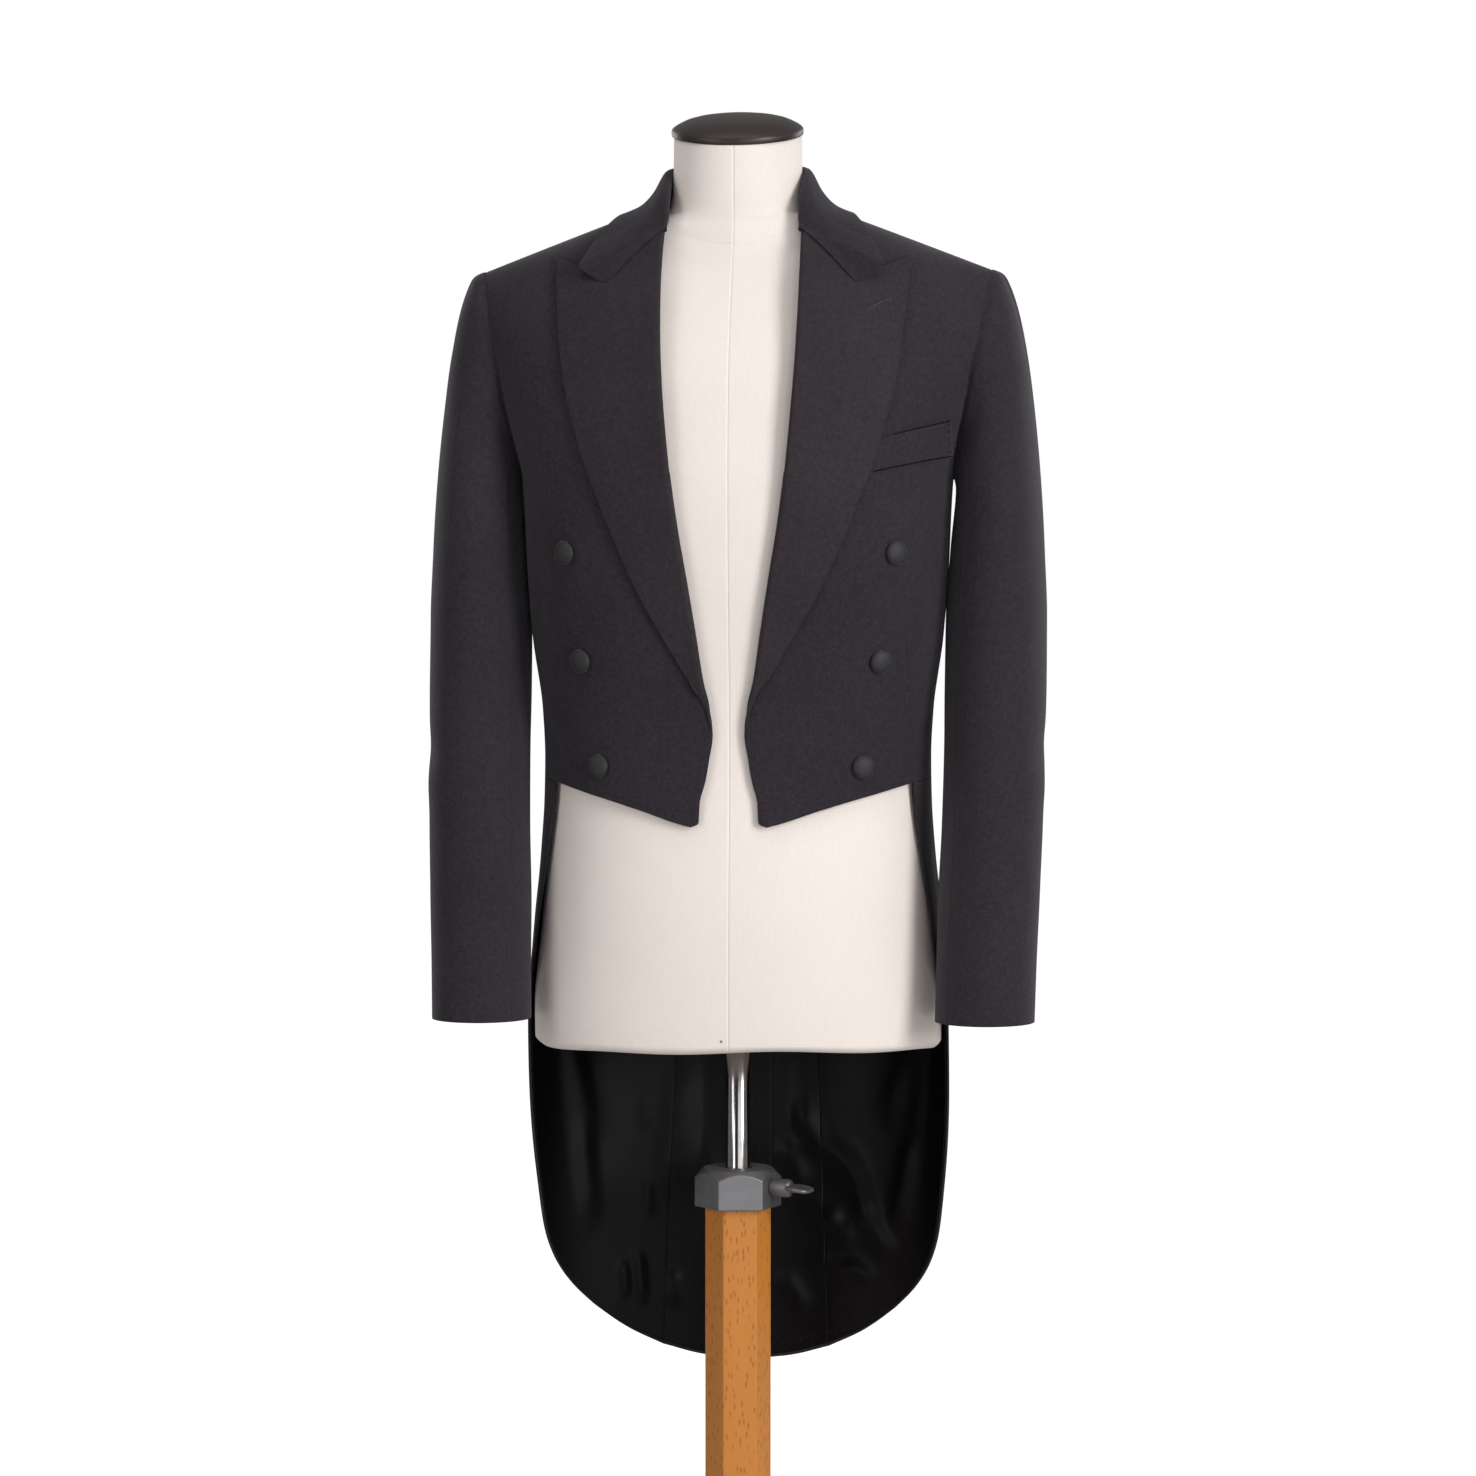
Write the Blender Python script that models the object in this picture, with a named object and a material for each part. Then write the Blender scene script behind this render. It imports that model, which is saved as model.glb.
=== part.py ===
# White tie tailcoat on a limbless dress form with its stand.
# Metres, +Z up. +X is the wearer's left, -Y the front, the stand's axis is the Z axis.
import math

import bmesh
import bpy
from mathutils import Matrix, Vector

# Cloth
CLOTH = 0.0020
LINING = 0.0012
SEAM_GAP = 0.0003
SEAM_TRIM = 0.00025
LAYER_GAP = 0.0006
OVERLAY_GAP = 0.0013
BUTTON_GAP = 0.0006
BACK_BUTTON_GAP = 0.0008
CUFF_BUTTON_GAP = 0.0008
COLLAR_GAP = 0.0028
LAPEL_ROLL = 0.0030
LAPEL_BOW = 0.0012
VENT_GAP = 0.0010

# Levels of the coat: below the armpit a level is a height, above it the levels
# climb the shoulders and all end on the shoulder ridge.
ARMPIT = 1.280
UPPER_SPAN = 0.300
SHOULDER_TOP = 1.463
SHOULDER_X = 0.222
SHOULDER_SLOPE = 0.389
SHOULDER_ROUND = 0.030
NECK_POINT_X = 0.080
BACK_NECK_LEVEL = ARMPIT + 0.75 * UPPER_SPAN
YOKE_LEVEL = 1.320
TAIL_POINT = 0.485

# Armhole
ARMHOLE_FRONT = 0.053
ARMHOLE_BACK = 0.066
FRONT_SEAM_TURN = 150.0
BACK_SEAM_TURN = 255.0
ARMHOLE_STEP = 15.0

# Sleeve
SLEEVE_TOP = 1.220
CUFF = 0.812
FOREARM_SEAM_TURN = 135.0
ELBOW_SEAM_TURN = -60.0
# 0 is the armhole, 1 the upper arm, 2 the cuff
SLEEVE_PLACES = [0.0, 0.08, 0.20, 0.38, 0.65, 1.0, 1.15, 1.3, 1.45, 1.6, 1.75, 1.88, 2.0]
# how far the sleeve head stands out of the armhole, and how steeply it falls to the arm
HEAD_OUT = 0.048
HEAD_OUT_AT_TOP = 0.026
HEAD_TURN = 0.25
HEAD_DIP = 0.30
HEAD_FALL = 0.165
HEAD_FALL_AT_TOP = 0.085
HEAD_STEP = 0.004

# Panel grids
LOWER_ROWS = 8
FRONT_COLUMNS = 11
BACK_COLUMNS = 7
TAIL_ROWS = 10
LINING_ROWS = 7
LAPEL_ROWS = 20
LINING_HEM_SHARE = 0.2
LINING_EDGE_SHARE = 0.3

# Buttons
FRONT_BUTTON = 0.0210
CUFF_BUTTON = 0.0135
CUFF_BUTTON_PITCH = 0.0145
CUFF_BUTTON_LOWEST = 0.8475
CUFF_BUTTON_TURN = -46.0
# share of the radius outwards and upwards along the dome of a covered button
BUTTON_DOME = [(0.0, 0.0), (0.80, 0.0), (1.0, 0.14), (0.88, 0.36), (0.50, 0.52), (0.0, 0.58)]

# Collar
STAND_MOST = 0.026
STAND_LEAST = 0.004
STAND_GROWTH = 0.40
STAND_START = 1.488
STAND_LEAN = 0.20
STAND_INSET = 0.002
FOLD_BACK = 0.0018
FOLD_DROP = 0.0055
ROLL_OUT = 0.0042
ROLL_DROP = 0.0035

# Dress form
FORM_BOTTOM = 0.785
FORM_SIDES = 28
NECK_TILT = math.radians(15.0)
NECK_TOP = 1.5810
NECK_RING = 1.5750
NECK_CENTRE = -0.0045
CAP_SQUASH = 0.93
# radius, height above the neck's top
CAP_PROFILE = [(0.0, 0.0003), (0.0567, 0.0003), (0.0577, 0.0015), (0.0577, 0.0050), (0.0547, 0.0080),
               (0.045, 0.0128), (0.030, 0.0160), (0.015, 0.0175), (0.0, 0.0180)]

# Stand
ROD_RADIUS = 0.0110
ROD_BOTTOM = 0.360
SOCKET_TOP = 0.880
BORE_CLEARANCE = 0.0004
CLAMP_BOTTOM = 0.640
CLAMP_TOP = 0.6745
CLAMP_CORNER = 0.0385
CLAMP_TURN = 8.0
CLAMP_BEVEL = 0.0040
RING_RADIUS = 0.0150
RING_RISE = 0.0062
RING_BEVEL = 0.0012
POST_CORNER = 0.0293
POST_TOP = 0.6490
POST_BORE_DEPTH = 0.420
SCREW_HEIGHT = 0.6585
SCREW_TURN = 60.0
SCREW_RADIUS = 0.0040
SCREW_HOLE = 0.0044
SCREW_TIP = 0.0125
HEAD_RADIUS = 0.0080
HEAD_LENGTH = 0.0190
HEAD_BEVEL = 0.0010
WING_SIZE = (0.0040, 0.0150, 0.0300)
WING_CORNER = 0.0060
WING_CENTRE = 0.0270
BASE_RADIUS = 0.200
BASE_HEIGHT = 0.028
BASE_SOCKET = 0.012
BASE_EDGE = 0.006
FOOT_BEVEL = 0.002

# height, half width, front depth, back depth, squareness
COAT_SECTIONS = [
    (0.480, 0.1820, 0.106, 0.104, 2.2),
    (0.600, 0.1850, 0.110, 0.108, 2.2),
    (0.720, 0.1865, 0.115, 0.113, 2.2),
    (0.805, 0.1857, 0.118, 0.116, 2.2),
    (0.890, 0.1800, 0.118, 0.112, 2.2),
    (0.953, 0.1740, 0.114, 0.101, 2.2),
    (1.000, 0.1707, 0.110, 0.092, 2.2),
    (1.038, 0.1700, 0.108, 0.087, 2.2),
    (1.080, 0.1720, 0.110, 0.088, 2.2),
    (1.143, 0.1805, 0.117, 0.096, 2.3),
    (1.200, 0.1850, 0.124, 0.105, 2.3),
    (1.280, 0.1890, 0.130, 0.116, 2.4),
    (1.316, 0.1980, 0.132, 0.122, 2.5),
    (1.340, 0.2060, 0.133, 0.127, 2.5),
    (1.376, 0.2165, 0.133, 0.129, 2.5),
    (1.412, 0.2255, 0.131, 0.130, 2.5),
    (1.460, 0.2340, 0.128, 0.136, 2.4),
    (1.520, 0.2415, 0.125, 0.158, 2.4),
    (1.580, 0.2465, 0.125, 0.165, 2.3),
]

# height, half width, front depth, back depth, squareness
FORM_SECTIONS = [
    (0.7850, 0.1740, 0.107, 0.103, 2.2),
    (0.7900, 0.1790, 0.112, 0.108, 2.2),
    (0.8200, 0.1795, 0.113, 0.108, 2.2),
    (0.8900, 0.1730, 0.112, 0.104, 2.2),
    (0.9530, 0.1675, 0.108, 0.094, 2.2),
    (1.0000, 0.1640, 0.104, 0.085, 2.2),
    (1.0380, 0.1630, 0.102, 0.080, 2.2),
    (1.0800, 0.1650, 0.104, 0.081, 2.2),
    (1.1430, 0.1740, 0.111, 0.089, 2.3),
    (1.2000, 0.1780, 0.118, 0.098, 2.3),
    (1.2800, 0.1815, 0.122, 0.108, 2.4),
    (1.3400, 0.1870, 0.118, 0.111, 2.4),
    (1.3800, 0.1900, 0.110, 0.109, 2.4),
    (1.4100, 0.1900, 0.098, 0.103, 2.4),
    (1.4350, 0.1890, 0.085, 0.095, 2.3),
    (1.4500, 0.1880, 0.077, 0.088, 2.3),
    (1.4630, 0.1830, 0.070, 0.081, 2.2),
    (1.4740, 0.1720, 0.063, 0.075, 1.9),
    (1.4838, 0.1600, 0.058, 0.069, 1.7),
    (1.4915, 0.1400, 0.056, 0.064, 1.7),
    (1.4985, 0.1200, 0.054, 0.060, 1.7),
    (1.5040, 0.0930, 0.053, 0.056, 1.8),
    (1.5085, 0.0710, 0.053, 0.053, 2.0),
    (1.5120, 0.0630, 0.053, 0.051, 2.0),
    (1.5220, 0.0585, 0.054, 0.050, 2.0),
    (1.5450, 0.0565, 0.055, 0.049, 2.0),
    (1.5750, 0.0559, 0.056, 0.047, 2.0),
]
FORM_RINGS = [0.785, 0.788, 0.795, 0.84, 0.89, 0.94, 0.99, 1.038, 1.09, 1.143, 1.21, 1.28, 1.34, 1.38,
              1.41, 1.435, 1.45, 1.463, 1.474, 1.4838, 1.4915, 1.4985, 1.504, 1.5085, 1.512, 1.522,
              1.545]

# height, centre x, centre y, half width, half depth
SLEEVE_SECTIONS = [
    (0.812, 0.21855, -0.068, 0.04115, 0.0480),
    (0.860, 0.21985, -0.060, 0.04135, 0.0500),
    (0.920, 0.22165, -0.048, 0.04215, 0.0525),
    (0.980, 0.22420, -0.035, 0.04200, 0.0555),
    (1.040, 0.22560, -0.022, 0.04200, 0.0590),
    (1.100, 0.22640, -0.010, 0.04260, 0.0630),
    (1.160, 0.22685, -0.001, 0.04235, 0.0680),
    (1.220, 0.22770, 0.003, 0.03930, 0.0725),
]

# x, z from the tip of the front up the edge and the roll line to the neck point
FRONT_EDGE_LOWER = [
    (0.0325, 0.9810),
    (0.0255, 0.9850),
    (0.0250, 1.0000),
    (0.0200, 1.0200),
    (0.0165, 1.0400),
    (0.0135, 1.0600),
    (0.0165, 1.0830),
    (0.0218, 1.1030),
    (0.0273, 1.1430),
    (0.0337, 1.1855),
    (0.0443, 1.2490),
    (0.0485, 1.2800),
]
FRONT_EDGE_UPPER = [
    (0.0485, 1.2800),
    (0.0520, 1.3120),
    (0.0558, 1.3540),
    (0.0585, 1.4000),
    (0.0597, 1.4390),
    (0.0600, 1.4760),
    (0.0645, 1.4970),
    (0.0710, 1.5090),
]

# x, z of the lapel
ROLL_LINE = [
    (0.0150, 1.0850),
    (0.0205, 1.1040),
    (0.0263, 1.1430),
    (0.0327, 1.1855),
    (0.0433, 1.2490),
    (0.0510, 1.3120),
    (0.0548, 1.3540),
    (0.0575, 1.4000),
    (0.0587, 1.4390),
    (0.0582, 1.4870),
]
LAPEL_EDGE = [
    (0.0190, 1.0815),
    (0.0333, 1.1060),
    (0.0560, 1.1450),
    (0.0790, 1.1870),
    (0.1090, 1.2570),
    (0.1270, 1.3070),
    (0.1420, 1.3680),
    (0.1484, 1.4180),
    (0.1530, 1.4660),
]
GORGE_TOP = (0.0582, 1.4870)
GORGE_END = (0.1053, 1.4450)
PEAK_TIP = (0.1530, 1.4660)

# x, z of the lower edge of the front
FRONT_HEM = [
    (0.0325, 0.9810),
    (0.0443, 0.9840),
    (0.0780, 0.9950),
    (0.1160, 1.0060),
    (0.1540, 1.0165),
]
WAIST_AT_SIDE = 1.0210
WAIST_AT_BACK = 1.0300
SIDE_SEAM = 85.0
SIDE_SEAM_MIDDLE = (82.0, 1.1500)
SKIRT_FRONT = 64.0
BACK_SEAM = 167.0

# angle, height down the tail's front edge and round its hem to the pleat
TAIL_EDGE = [
    (64.0, 1.0165),
    (66.0, 0.9800),
    (72.0, 0.9000),
    (86.0, 0.8000),
    (96.0, 0.7200),
    (104.0, 0.6600),
    (110.0, 0.6120),
    (116.0, 0.5860),
    (124.0, 0.5620),
    (134.0, 0.5380),
]
TAIL_HEM = [
    (134.0, 0.5380),
    (146.0, 0.5140),
    (156.0, 0.4990),
]
PLEAT_LINE = [
    (156.0, 0.4990),
    (159.0, 0.7000),
    (163.0, 0.9000),
    (167.0, 1.0300),
]
BACK_SEAM_LINE = [
    (167.0, 1.0300),
    (162.0, 1.1200),
    (151.0, 1.2200),
    (136.0, 1.2950),
]
BACK_NECK_CURVE = [(166.5, 1.5400), (171.0, 1.5150)]
TAIL_HEM_MIDDLE = (168.0, 0.4890)

# fold x, y, z and outer edge x, y, z of the collar, from the gorge to the centre back
COLLAR_STATIONS = [
    (0.0590, -0.0660, 1.4905, 0.1060, -0.0850, 1.4475),
    (0.0592, -0.0600, 1.4980, 0.1320, -0.0790, 1.4610),
    (0.0596, -0.0480, 1.5160, 0.1240, -0.0500, 1.4830),
    (0.0600, -0.0250, 1.5370, 0.1120, -0.0220, 1.5010),
    (0.0605, 0.0000, 1.5490, 0.1035, 0.0030, 1.5110),
    (0.0560, 0.0270, 1.5540, 0.0920, 0.0330, 1.5090),
    (0.0430, 0.0480, 1.5570, 0.0700, 0.0560, 1.5075),
    (0.0230, 0.0580, 1.5590, 0.0380, 0.0720, 1.5060),
    (0.0000, 0.0610, 1.5600, 0.0000, 0.0780, 1.5050),
]

# x, z of the three buttons on each front
FRONT_BUTTONS = [(0.142, 1.216), (0.129, 1.123), (0.114, 1.032)]

# angle, height of the button at the top of each tail pleat
BACK_BUTTON = (165.0, 1.036)

# x, z at the corners of the breast welt: lower left, lower right, upper left, upper right
WELT_CORNERS = [(0.1215, 1.2840), (0.1830, 1.2970), (0.1305, 1.3130), (0.1840, 1.3260)]

COLORS = {
    "wool": (0.022, 0.020, 0.023, 1.0),
    "silk": (0.018, 0.015, 0.016, 1.0),
    "satin": (0.012, 0.011, 0.013, 1.0),
    "linen": (0.76, 0.70, 0.62, 1.0),
    "cap": (0.060, 0.035, 0.028, 1.0),
    "chrome": (0.80, 0.80, 0.82, 1.0),
    "aluminium": (0.70, 0.70, 0.71, 1.0),
    "beech": (0.62, 0.36, 0.17, 1.0),
}


def start_clean():
    for item in list(bpy.data.objects):
        bpy.data.objects.remove(item, do_unlink=True)


def material(name, kind, roughness, metallic=0.0):
    made = bpy.data.materials.new(name)
    made.use_nodes = True
    shader = made.node_tree.nodes["Principled BSDF"]
    shader.inputs["Base Color"].default_value = COLORS[kind]
    shader.inputs["Roughness"].default_value = roughness
    shader.inputs["Metallic"].default_value = metallic
    return made


def finish_for(kind):
    roughness = {"wool": 0.9, "silk": 0.55, "satin": 0.35, "linen": 0.85, "cap": 0.45,
                 "chrome": 0.08, "aluminium": 0.35, "beech": 0.5}[kind]
    metallic = 1.0 if kind in ("chrome", "aluminium") else 0.0
    return roughness, metallic


def add_object(name, vertices, faces, kind, smooth_angle=50.0):
    mesh = bpy.data.meshes.new(name)
    mesh.from_pydata([tuple(point) for point in vertices], [], faces)
    mesh.validate()
    shape = bmesh.new()
    shape.from_mesh(mesh)
    bmesh.ops.recalc_face_normals(shape, faces=shape.faces)
    shape.to_mesh(mesh)
    shape.free()
    mesh.shade_smooth()
    mesh.set_sharp_from_angle(angle=math.radians(smooth_angle))
    made = bpy.data.objects.new(name, mesh)
    bpy.context.scene.collection.objects.link(made)
    roughness, metallic = finish_for(kind)
    made.data.materials.append(material(name + "_finish", kind, roughness, metallic))
    return made


# Smooth curves through tables

def monotone_slopes(steps, values):
    secants = []
    for i in range(len(steps) - 1):
        secants.append((values[i + 1] - values[i]) / (steps[i + 1] - steps[i]))
    slopes = [secants[0]]
    for before, after in zip(secants[:-1], secants[1:]):
        if before * after <= 0.0:
            slopes.append(0.0)
        else:
            slopes.append(2.0 * before * after / (before + after))
    slopes.append(secants[-1])
    return slopes


def table_reader(rows):
    steps = [row[0] for row in rows]
    columns = list(zip(*rows))[1:]
    slopes = [monotone_slopes(steps, column) for column in columns]

    def read(step):
        step = min(max(step, steps[0]), steps[-1])
        i = 0
        while i < len(steps) - 2 and step > steps[i + 1]:
            i += 1
        width = steps[i + 1] - steps[i]
        t = (step - steps[i]) / width
        h00 = (1 + 2 * t) * (1 - t) ** 2
        h10 = t * (1 - t) ** 2
        h01 = t * t * (3 - 2 * t)
        h11 = t * t * (t - 1)
        result = []
        for column, slope in zip(columns, slopes):
            value = h00 * column[i] + h01 * column[i + 1]
            value += width * (h10 * slope[i] + h11 * slope[i + 1])
            result.append(value)
        return result

    return read


def spread(points, count):
    """Points at even spacing on a smooth curve through the given ones."""
    lengths = [0.0]
    scale = []
    for values in zip(*points):
        scale.append(max(values) - min(values) or 1.0)
    for before, after in zip(points[:-1], points[1:]):
        step = math.sqrt(sum(((b - a) / s) ** 2 for a, b, s in zip(before, after, scale)))
        lengths.append(lengths[-1] + step)
    read = table_reader([(length,) + tuple(point) for length, point in zip(lengths, points)])
    return [tuple(read(lengths[-1] * i / count)) for i in range(count + 1)]


coat_section = table_reader(COAT_SECTIONS)
form_section = table_reader(FORM_SECTIONS)
sleeve_section = table_reader(SLEEVE_SECTIONS)


# The coat's outer surface

def unit_section(angle, squareness):
    side = math.sin(math.radians(angle))
    ahead = math.cos(math.radians(angle))
    reach = (abs(side) ** squareness + abs(ahead) ** squareness) ** (-1.0 / squareness)
    return side * reach, ahead * reach


def ridge_height(x):
    top = math.hypot(SHOULDER_X, SHOULDER_ROUND)
    return SHOULDER_TOP + SHOULDER_SLOPE * (top - math.hypot(x, SHOULDER_ROUND))


def coat_surface(angle, level):
    half_width, front, back, squareness = coat_section(level)
    side, ahead = unit_section(angle, squareness)
    depth = front if ahead > 0 else back
    x = half_width * side
    if level <= ARMPIT:
        return Vector((x, -depth * ahead, level))
    climb = (level - ARMPIT) / UPPER_SPAN * math.pi / 2
    height = ARMPIT + (ridge_height(x) - ARMPIT) * math.sin(climb)
    return Vector((x, -depth * ahead * math.cos(climb), height))


def coat_normal(angle, level):
    around = coat_surface(angle + 0.4, level) - coat_surface(angle - 0.4, level)
    upward = coat_surface(angle, level + 0.001) - coat_surface(angle, level - 0.001)
    return around.cross(upward).normalized()


def coat_point(angle, level, out=0.0):
    return coat_surface(angle, level) + coat_normal(angle, level) * out


def on_front(x, z):
    """Angle and level of the front's point that is seen at x, z."""
    level = z
    if z > ARMPIT:
        share = min(1.0, (z - ARMPIT) / (ridge_height(x) - ARMPIT))
        level = ARMPIT + UPPER_SPAN * math.asin(share) * 2 / math.pi
    half_width, front, back, squareness = coat_section(level)
    side = min(1.0, x / half_width)
    ahead = (1.0 - side ** squareness) ** (1.0 / squareness)
    return math.degrees(math.atan2(side, ahead)), level


def armhole(turn):
    """Angle and level of the armhole at a turn: 0 is the top, 90 the front."""
    turn = turn % 360.0
    swing = math.radians(turn if turn > 1.0 else 1.0)
    share = (1.0 + math.cos(swing)) / 2
    level = ARMPIT + UPPER_SPAN * math.asin(share) * 2 / math.pi
    half_width, front, back, squareness = coat_section(level)
    fall = math.sqrt(max(0.0, 1.0 - share * share))
    if turn <= 180.0:
        ahead = ARMHOLE_FRONT * math.sin(swing) / (front * fall)
    else:
        ahead = ARMHOLE_BACK * abs(math.sin(swing)) / (back * fall)
    side = (1.0 - ahead ** squareness) ** (1.0 / squareness)
    angle = math.degrees(math.atan2(side, ahead))
    return (angle, level) if turn <= 180.0 else (180.0 - angle, level)


def armhole_turns(start, end):
    count = round(abs(end - start) / ARMHOLE_STEP)
    return [start + (end - start) * i / count for i in range(count + 1)]


def waist_seam(angle):
    if angle < SIDE_SEAM:
        share = (angle - SKIRT_FRONT) / (SIDE_SEAM - SKIRT_FRONT)
        return (angle, FRONT_HEM[-1][1] + (WAIST_AT_SIDE - FRONT_HEM[-1][1]) * share)
    share = (angle - SIDE_SEAM) / (BACK_SEAM - SIDE_SEAM)
    return (angle, WAIST_AT_SIDE + (WAIST_AT_BACK - WAIST_AT_SIDE) * share)


def walk(places, count):
    """Places at even steps along a smooth curve that lies on the coat."""
    fine = spread(places, 60)
    points = [coat_surface(*place) for place in fine]
    lengths = [0.0]
    for before, after in zip(points[:-1], points[1:]):
        lengths.append(lengths[-1] + (after - before).length)
    read = table_reader([(length,) + place for length, place in zip(lengths, fine)])
    return [tuple(read(lengths[-1] * i / count)) for i in range(count + 1)]


# Panels

def blend_patch(bottom, top, left, right):
    """Grid of surface places between four edges that meet at their ends."""
    columns = len(bottom) - 1
    rows = len(left) - 1
    grid = []
    for j in range(rows + 1):
        v = j / rows
        row = []
        for i in range(columns + 1):
            u = i / columns
            place = []
            for k in (0, 1):
                value = (1 - v) * bottom[i][k] + v * top[i][k]
                value += (1 - u) * left[j][k] + u * right[j][k]
                value -= (1 - u) * ((1 - v) * bottom[0][k] + v * top[0][k])
                value -= u * ((1 - v) * bottom[-1][k] + v * top[-1][k])
                place.append(value)
            row.append(tuple(place))
        grid.append(row)
    return grid


def trim_edges(points, gaps):
    """Moves to draw the edges of a grid in: left, right, bottom, top."""
    rows = len(points)
    columns = len(points[0])
    moves = [[Vector((0, 0, 0)) for i in range(columns)] for j in range(rows)]
    for j in range(rows):
        moves[j][0] += (points[j][1] - points[j][0]).normalized() * gaps[0]
        moves[j][-1] += (points[j][-2] - points[j][-1]).normalized() * gaps[1]
    for i in range(columns):
        moves[0][i] += (points[1][i] - points[0][i]).normalized() * gaps[2]
        moves[-1][i] += (points[-2][i] - points[-1][i]).normalized() * gaps[3]
    return moves


def wall_mesh(outer, inner):
    """Closed wall between two grids of the same size."""
    rows = len(outer)
    columns = len(outer[0])
    vertices = [point for row in outer for point in row]
    vertices += [point for row in inner for point in row]
    half = rows * columns
    faces = []
    for j in range(rows - 1):
        for i in range(columns - 1):
            a = j * columns + i
            b = a + 1
            c = a + columns + 1
            d = a + columns
            faces.append((a, b, c, d))
            faces.append((half + a, half + d, half + c, half + b))
    rim = [i for i in range(columns)]
    rim += [j * columns + columns - 1 for j in range(1, rows)]
    rim += [(rows - 1) * columns + i for i in range(columns - 2, -1, -1)]
    rim += [j * columns for j in range(rows - 2, 0, -1)]
    for k, a in enumerate(rim):
        b = rim[(k + 1) % len(rim)]
        faces.append((b, a, half + a, half + b))
    return vertices, faces


def mirrored(points, side):
    return [Vector((point.x * side, point.y, point.z)) for point in points]


def side_name(side):
    return "left" if side > 0 else "right"


def inset_corner(points, rows, edge_share, hem_share):
    """The lower rows of a grid, drawn in from its left edge and its hem along their own cells."""
    kept = [list(row) for row in points[:rows + 1]]
    for row in kept:
        row[0] = row[0].lerp(row[1], edge_share)
    kept[0] = [low.lerp(high, hem_share) for low, high in zip(kept[0], kept[1])]
    return kept


def coat_lining(name, grid, side, edge_share):
    """Lining inside the lower part of a panel, made from the panel's own points."""
    outer = [[coat_surface(*place) for place in row] for row in grid]
    normals = [[coat_normal(*place) for place in row] for row in grid]
    outer = inset_corner(outer, LINING_ROWS, edge_share, LINING_HEM_SHARE)
    normals = inset_corner(normals, LINING_ROWS, edge_share, LINING_HEM_SHARE)
    moves = trim_edges(outer, (SEAM_GAP / 2, 2 * SEAM_GAP, 0.0, 0.0))
    outer = [[p + m - n * (CLOTH + LAYER_GAP) for p, m, n in zip(a, b, c)]
             for a, b, c in zip(outer, moves, normals)]
    inner = [[p - n * LINING for p, n in zip(a, b)] for a, b in zip(outer, normals)]
    vertices, faces = wall_mesh(outer, inner)
    add_object(name, mirrored(vertices, side), faces, "satin")


def coat_panel(name, grid, side, kind="wool", out=0.0, wall=CLOTH, gaps=(0, 0, 0, 0), lift=None):
    places = []
    normals = []
    for j, row in enumerate(grid):
        raised = [out + (lift(i / (len(row) - 1), j / (len(grid) - 1)) if lift else 0.0)
                  for i in range(len(row))]
        normals.append([coat_normal(*place) for place in row])
        places.append([coat_surface(*place) + normal * rise
                       for place, normal, rise in zip(row, normals[-1], raised)])
    moves = trim_edges(places, gaps)
    outer = [[p + m for p, m in zip(a, b)] for a, b in zip(places, moves)]
    inner = [[p - n * wall for p, n in zip(a, b)] for a, b in zip(outer, normals)]
    vertices, faces = wall_mesh(outer, inner)
    return add_object(name, mirrored(vertices, side), faces, kind)


def front_grid():
    lower = spread(FRONT_EDGE_LOWER, LOWER_ROWS)
    turns = armhole_turns(FRONT_SEAM_TURN, 0.0)
    neck = on_front(NECK_POINT_X, ridge_height(NECK_POINT_X))
    upper = walk([on_front(*place) for place in FRONT_EDGE_UPPER] + [neck], len(turns) - 1)
    left = [on_front(*place) for place in lower] + upper[1:]
    seam = spread([(SIDE_SEAM, WAIST_AT_SIDE), SIDE_SEAM_MIDDLE, armhole(FRONT_SEAM_TURN)], LOWER_ROWS)
    right = seam + [armhole(turn) for turn in turns[1:]]
    hem = [on_front(*place) for place in FRONT_HEM] + [(SIDE_SEAM, WAIST_AT_SIDE)]
    bottom = spread(hem, FRONT_COLUMNS)
    top = spread([left[-1], right[-1]], FRONT_COLUMNS)
    return blend_patch(bottom, top, left, right)


def side_grid():
    left = spread([(SIDE_SEAM, WAIST_AT_SIDE), SIDE_SEAM_MIDDLE, armhole(FRONT_SEAM_TURN)], LOWER_ROWS)
    right = spread(BACK_SEAM_LINE + [armhole(BACK_SEAM_TURN)], LOWER_ROWS)
    turns = armhole_turns(FRONT_SEAM_TURN, BACK_SEAM_TURN)
    top = [armhole(turn) for turn in turns]
    bottom = [waist_seam(SIDE_SEAM + (BACK_SEAM - SIDE_SEAM) * i / (len(turns) - 1))
              for i in range(len(turns))]
    return blend_patch(bottom, top, left, right)


def centre_back(low, high, count):
    return [(180.0, low + (high - low) * i / count) for i in range(count + 1)]


def back_grid():
    pleat = spread(PLEAT_LINE, TAIL_ROWS)
    seam = spread(BACK_SEAM_LINE + [armhole(BACK_SEAM_TURN)], LOWER_ROWS)
    turns = armhole_turns(BACK_SEAM_TURN, 360.0)
    left = pleat + seam[1:] + [armhole(turn) for turn in turns[1:]]
    left[-1] = (180.0 - armhole(0.0)[0], armhole(0.0)[1])
    right = centre_back(TAIL_POINT, WAIST_AT_BACK, TAIL_ROWS)
    right += centre_back(WAIST_AT_BACK, YOKE_LEVEL, LOWER_ROWS)[1:]
    right += centre_back(YOKE_LEVEL, BACK_NECK_LEVEL, len(turns) - 1)[1:]
    bottom = spread([left[0], TAIL_HEM_MIDDLE, right[0]], BACK_COLUMNS)
    neck_angle = 180.0 - on_front(NECK_POINT_X, ridge_height(NECK_POINT_X))[0]
    neck = (neck_angle, ARMPIT + UPPER_SPAN)
    shoulder = spread([left[-1], neck], BACK_COLUMNS - 3)
    opening = walk([neck] + BACK_NECK_CURVE + [right[-1]], 3)
    return blend_patch(bottom, shoulder + opening[1:], left, right)


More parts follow.
